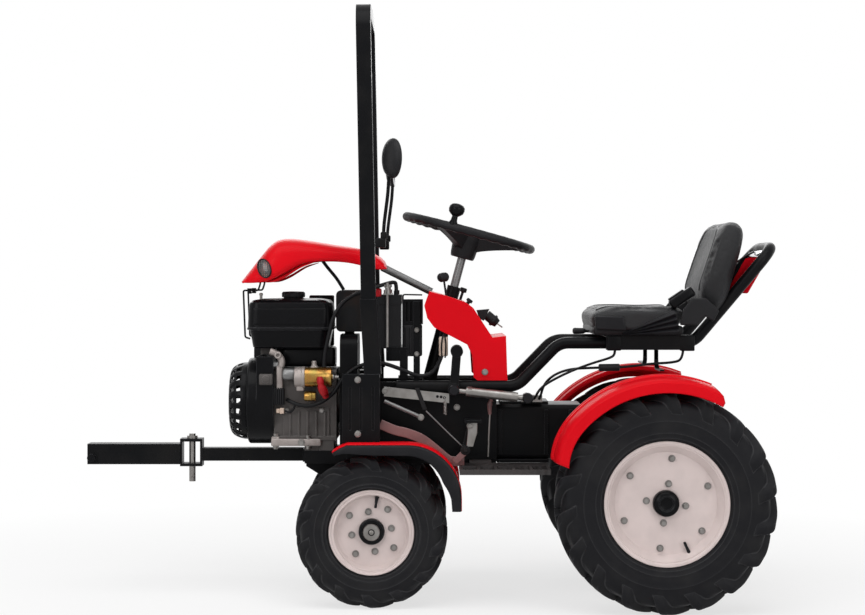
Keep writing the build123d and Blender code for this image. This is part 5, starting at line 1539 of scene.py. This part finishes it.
def link_and_pedal():
    """Nuts and rubber joints of the long link, the pedal with its plate and pivot, and the gear rod."""
    ring = [(11, 0), (13, 2), (13, 12), (11, 14), (10, 7)]
    ends = ((-102, 182, 577), (-220, 182, 563))
    nuts = [turned(ring, at, (-0.99, 0, -0.11), 6, wrap=True) for at in ends]
    piece("link_nuts", join(*nuts), "zinc")
    joint = turned([(0, -13), (12, -13), (15, -9), (15, 9), (12, 14), (0, 15)], (0, 0, 0), LEFT, 28)
    piece("link_joints", copies(joint, [(-67, 182, 579), (-268, 182, 557)]), "soft_rubber")
    front, back = [(-130, 494), (-130, 465), (-119, 427)], [(-103, 495), (-104, 465), (-100, 427)]
    softened(piece("pedal_arm", slab(front, back, (205, 209)), "zinc"), 1.5)
    plate = band([(-96, 413), (-81, 398), (-68, 385)], (205, 209), 18)
    softened(piece("pedal_plate", plate, "strap_with_painted_reflection"))
    piece("pedal_pivot", copies(hex_bolt(LEFT, 12, 6, 13), (-98, 209, 418)), "heat_black")
    piece("gear_rod", tube([(-167, 104, 512), (-164, 104, 450), (-162, 104, 391)], 2.8, 10), "zinc")
    boot = [(-175, 104, 548), (-169, 104, 545), (-166, 104, 532), (-167, 104, 508)]
    piece("gear_boot", pipe(boot, 16, ([0, 0.4, 0.6, 1], [5, 6, 8, 5]), 12), "strap_with_painted_reflection")


def slides():
    """End brackets and stop bolts of the seat slides, and the plate on the gearbox."""
    front = rounded_box((-522, 158, 687), (-484, 187, 728), 3)
    rear = rounded_box((-722, 158, 686), (-684, 187, 728), 3)
    piece("slide_ends", both_sides(join(front, rear)), "black_paint")
    piece("gearbox_plate", both_sides(rounded_box((-330, 40, 374), (-186, 95, 384), 2)), "black_paint")
    stops = copies(hex_bolt(UP, 8, 4, 6), [(-549, 173, 729), (-663, 173, 729)])
    piece("slide_bolts", both_sides(stops), "zinc")


def frame_bolts():
    """Bolt heads on brackets, dash, plates and gearbox."""
    large = [(-152, 150, 627), (193, 234, 610), (193, 234, 464), (-76, 105, 528)]
    small = [(35, 105, 741), (35, 105, 675), (-176, 97, 498), (-177, 97, 415)]
    heads = join(copies(hex_bolt(LEFT, 13, 6, 9), large), copies(hex_bolt(LEFT, 10, 5, 7), small))
    piece("frame_bolts", both_sides(heads), "zinc")


class TRACTOR_OT_fittings(Step, bpy.types.Operator):
    """Build the battery fittings, dash switches, mirrors, tail lamp, straps and bolts"""

    bl_idname = "tractor.fittings"
    bl_label = "Fittings"
    builders = (mirrors, tail_lamp, straps, battery, dash, clutch, link_and_pedal, slides, frame_bolts)


# Cables

# Curve: node, radius and routes
CABLES = {
    "brake_cable_lines": (
        "brake_cables",
        3.5,
        (
            [(-288, 100, 551), (-288, 132, 551), (-304, 166, 588), (-372, 180, 626)]
            + [(-440, 181, 652), (-494, 174, 667), (-506, 172, 676), (-506, 172, 688.7)],
            [(-303, 100, 551), (-303, 128, 551), (-316, 156, 604), (-370, 166, 636), (-455, 166, 640)]
            + [(-530, 168, 641), (-604, 170, 651), (-664, 171, 654), (-690, 172, 662), (-692, 172, 688.7)],
        ),
    ),
    "wire_loom_lines": (
        "wire_looms",
        5.5,
        (
            [(290, 123.2, 639.3), (290, 123.2, 668), (276, 132, 730), (262, 133, 786), (228, 131, 830)]
            + [(172, 122, 852), (122, 98, 868), (98, 84, 874), (92, 80, 868), (92, 80, 850.3)],
            [(392, 96, 548), (392, 116, 548), (350, 124, 531), (304, 125, 537), (262, 126, 568)]
            + [(238, 126, 612), (196, 126, 644), (140, 126, 655), (82, 126, 636), (28, 126, 612)]
            + [(-12, 126, 622), (-38, 125, 676), (-50, 122, 752), (-50, 120, 829)],
        ),
    ),
}


def cables():
    """Quadratic curves along the routes, each drawn as a round sheath, and the adjuster on one of them."""
    for name, (node, radius, routes) in CABLES.items():
        curve = bpy.data.curves.new(name, "CURVE")
        curve.dimensions = "3D"
        curve.bevel_depth = radius * MM
        curve.bevel_resolution = 4
        curve.resolution_u = 8
        curve.use_fill_caps = True
        for route in routes:
            spline = curve.splines.new("NURBS")
            spline.points.add(len(route) - 1)
            places = np.column_stack([np.array(route) * MM, np.ones(len(route))])
            spline.points.foreach_set("co", places.ravel())
            spline.order_u = 3
            spline.use_endpoint_u = True
        obj = bpy.data.objects.new(name, curve)
        bpy.context.scene.collection.objects.link(obj)
        curve.materials.append(material("sheath"))
        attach(obj, "chassis")
        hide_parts(node)
    sleeve = [(0, 0), (7, 0), (10, 2), (10, 56), (7, 58), (0, 58)]
    piece("cable_adjuster", turned(sleeve, (-462, 166, 640), (-58, 1.7, 0.8), 24), "plastic_black")


class TRACTOR_OT_cables(Step, bpy.types.Operator):
    """Lay the brake cables and the wire looms along their routes"""

    bl_idname = "tractor.cables"
    bl_label = "Cables"
    builders = (cables,)


# Paint


def paint():
    """Finish of every solid that stays."""
    for finish, names in KEPT_NODES.items():
        for name in names.split():
            NODES[name].data.materials.clear()
            NODES[name].data.materials.append(material(finish))


class TRACTOR_OT_paint(Step, bpy.types.Operator):
    """Give every solid that stays its finish"""

    bl_idname = "tractor.paint"
    bl_label = "Paint"
    builders = (paint,)


# Stage

# Softboxes: place, aim, size, watts
LIGHTS = (
    ("top", (0.3, 1.6, 4.4), (0.0, 0.0, 0.6), (5.0, 3.0), 124.0),
    ("front_left", (3.2, 4.6, 2.6), (0.2, 0.0, 0.7), (2.6, 2.6), 78.0),
    ("front_right", (-3.4, 4.4, 2.2), (-0.3, 0.0, 0.6), (2.6, 2.6), 62.0),
    ("behind", (0.0, -4.2, 2.8), (0.0, 0.0, 0.7), (5.0, 2.0), 71.0),
)
WORLD_FILL = 0.28
WHITE = (1, 1, 1, 1)
FLOOR_GREY = (0.86, 0.86, 0.86, 1)
# Least share of white in the floor, and the shares of its radius between which it rises to one
FLOOR_WHITE, FLOOR_FADE = 0.68, (0.1, 0.26)


def seen(shader):
    """One for rays that show the background: from the camera, in gloss and through glass."""
    rays = ("Camera", "Glossy", "Transmission")
    direct, glossy, through = (shader.node("ShaderNodeLightPath", output=f"Is {ray} Ray") for ray in rays)
    return 1 - (1 - direct) * (1 - glossy) * (1 - through)


def floor():
    """Round pale floor that keeps the shadow near the tractor and turns to white further out."""
    scene = bpy.context.scene
    size = scene.tractor_stage.floor_radius
    ring = circle(96)
    reach = np.array([0.02, 0.2, 0.5, 1.0])[:, None] * size
    disc = np.stack([reach * np.cos(ring), reach * np.sin(ring), 0 * reach * ring], -1)
    mesh = bpy.data.meshes.new("floor")
    points, faces = grid(capped(disc)[:-1], wrap_cols=True)
    mesh.from_pydata(points.tolist(), [], faces[:, ::-1].tolist())
    obj = bpy.data.objects.new("floor", mesh)
    scene.collection.objects.link(obj)
    paper = bpy.data.materials.new("floor_white")
    paper.use_nodes = True
    mesh.materials.append(paper)
    shader = Shader(paper.node_tree)
    spot = shader.node("ShaderNodeTexCoord", output="Object")
    far = shader.node("ShaderNodeVectorMath", {"operation": "LENGTH"}, {0: spot}, output="Value")
    pale = shader.node("ShaderNodeBsdfDiffuse", {}, {"Color": FLOOR_GREY})
    white = shader.node("ShaderNodeEmission", {}, {"Color": WHITE, "Strength": 1.0})
    edge = shader.ramp(far * (1 / size), *FLOOR_FADE)
    share = seen(shader) * (FLOOR_WHITE + (1 - FLOOR_WHITE) * edge)
    body = shader.node("ShaderNodeMixShader", {}, {0: share, 1: pale, 2: white})
    shader.node("ShaderNodeOutputMaterial", {}, {"Surface": body})


def lights():
    """Large soft lamps round the tractor."""
    for name, place, aim, size, watts in LIGHTS:
        lamp = bpy.data.lights.new(name, "AREA")
        lamp.shape = "RECTANGLE"
        lamp.size, lamp.size_y = size
        lamp.energy = watts
        obj = bpy.data.objects.new(name, lamp)
        obj.location = place
        obj.rotation_euler = (Vector(aim) - Vector(place)).to_track_quat("-Z", "Y").to_euler()
        bpy.context.scene.collection.objects.link(obj)


def world():
    """White where it is seen, a gentle fill elsewhere."""
    studio = bpy.data.worlds.new("studio")
    studio.use_nodes = True
    bpy.context.scene.world = studio
    shader = Shader(studio.node_tree)
    strength = WORLD_FILL + (1 - WORLD_FILL) * seen(shader)
    light = shader.node("ShaderNodeBackground", {}, {"Color": WHITE, "Strength": strength})
    shader.node("ShaderNodeOutputWorld", {}, {"Surface": light})


def camera():
    """Level camera square to the left side; the view shows colours as they are."""
    scene = bpy.context.scene
    stage = scene.tractor_stage
    lens = bpy.data.cameras.new("camera")
    lens.lens = stage.focal
    lens.shift_y = stage.rise
    obj = bpy.data.objects.new("camera", lens)
    obj.location = (stage.camera_ahead, stage.camera_distance, stage.camera_height)
    obj.rotation_euler = (pi / 2, 0, pi)
    scene.collection.objects.link(obj)
    scene.camera = obj
    scene.view_settings.view_transform = "Standard"


class TRACTOR_OT_stage(Step, bpy.types.Operator):
    """Set the floor, the lights, the world and the camera"""

    bl_idname = "tractor.stage"
    bl_label = "Stage"
    builders = (floor, lights, world, camera)


STEPS = (
    TRACTOR_OT_paint,
    TRACTOR_OT_tyres,
    TRACTOR_OT_rims,
    TRACTOR_OT_hood,
    TRACTOR_OT_fenders,
    TRACTOR_OT_seat,
    TRACTOR_OT_steering,
    TRACTOR_OT_engine,
    TRACTOR_OT_fittings,
    TRACTOR_OT_cables,
    TRACTOR_OT_stage,
)


class TRACTOR_PT_panel(bpy.types.Panel):
    """Sidebar panel that lists the steps and the settings"""

    bl_idname = "TRACTOR_PT_panel"
    bl_label = "Mini tractor"
    bl_space_type = "VIEW_3D"
    bl_region_type = "UI"
    bl_category = "Tractor"

    def draw(self, context):
        for step in STEPS:
            self.layout.operator(step.bl_idname)
        for group in ("tractor_colours", "tractor_sizes", "tractor_stage"):
            settings = getattr(context.scene, group)
            for name in settings.bl_rna.properties.keys()[2:]:
                self.layout.prop(settings, name)


GROUPS = {"tractor_colours": TractorColours, "tractor_sizes": TractorSizes, "tractor_stage": TractorStage}


def register():
    """Registers the classes and hangs the settings on the scene."""
    for cls in (*GROUPS.values(), *STEPS, TRACTOR_PT_panel):
        bpy.utils.register_class(cls)
    for name, group in GROUPS.items():
        setattr(bpy.types.Scene, name, bpy.props.PointerProperty(type=group))


def unregister():
    """Takes the settings and the classes away again."""
    for name in GROUPS:
        delattr(bpy.types.Scene, name)
    for cls in reversed((*GROUPS.values(), *STEPS, TRACTOR_PT_panel)):
        bpy.utils.unregister_class(cls)


def main():
    """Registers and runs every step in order."""
    register()
    for step in STEPS:
        area, name = step.bl_idname.split(".")
        getattr(getattr(bpy.ops, area), name)()


if __name__ == "__main__":
    main()
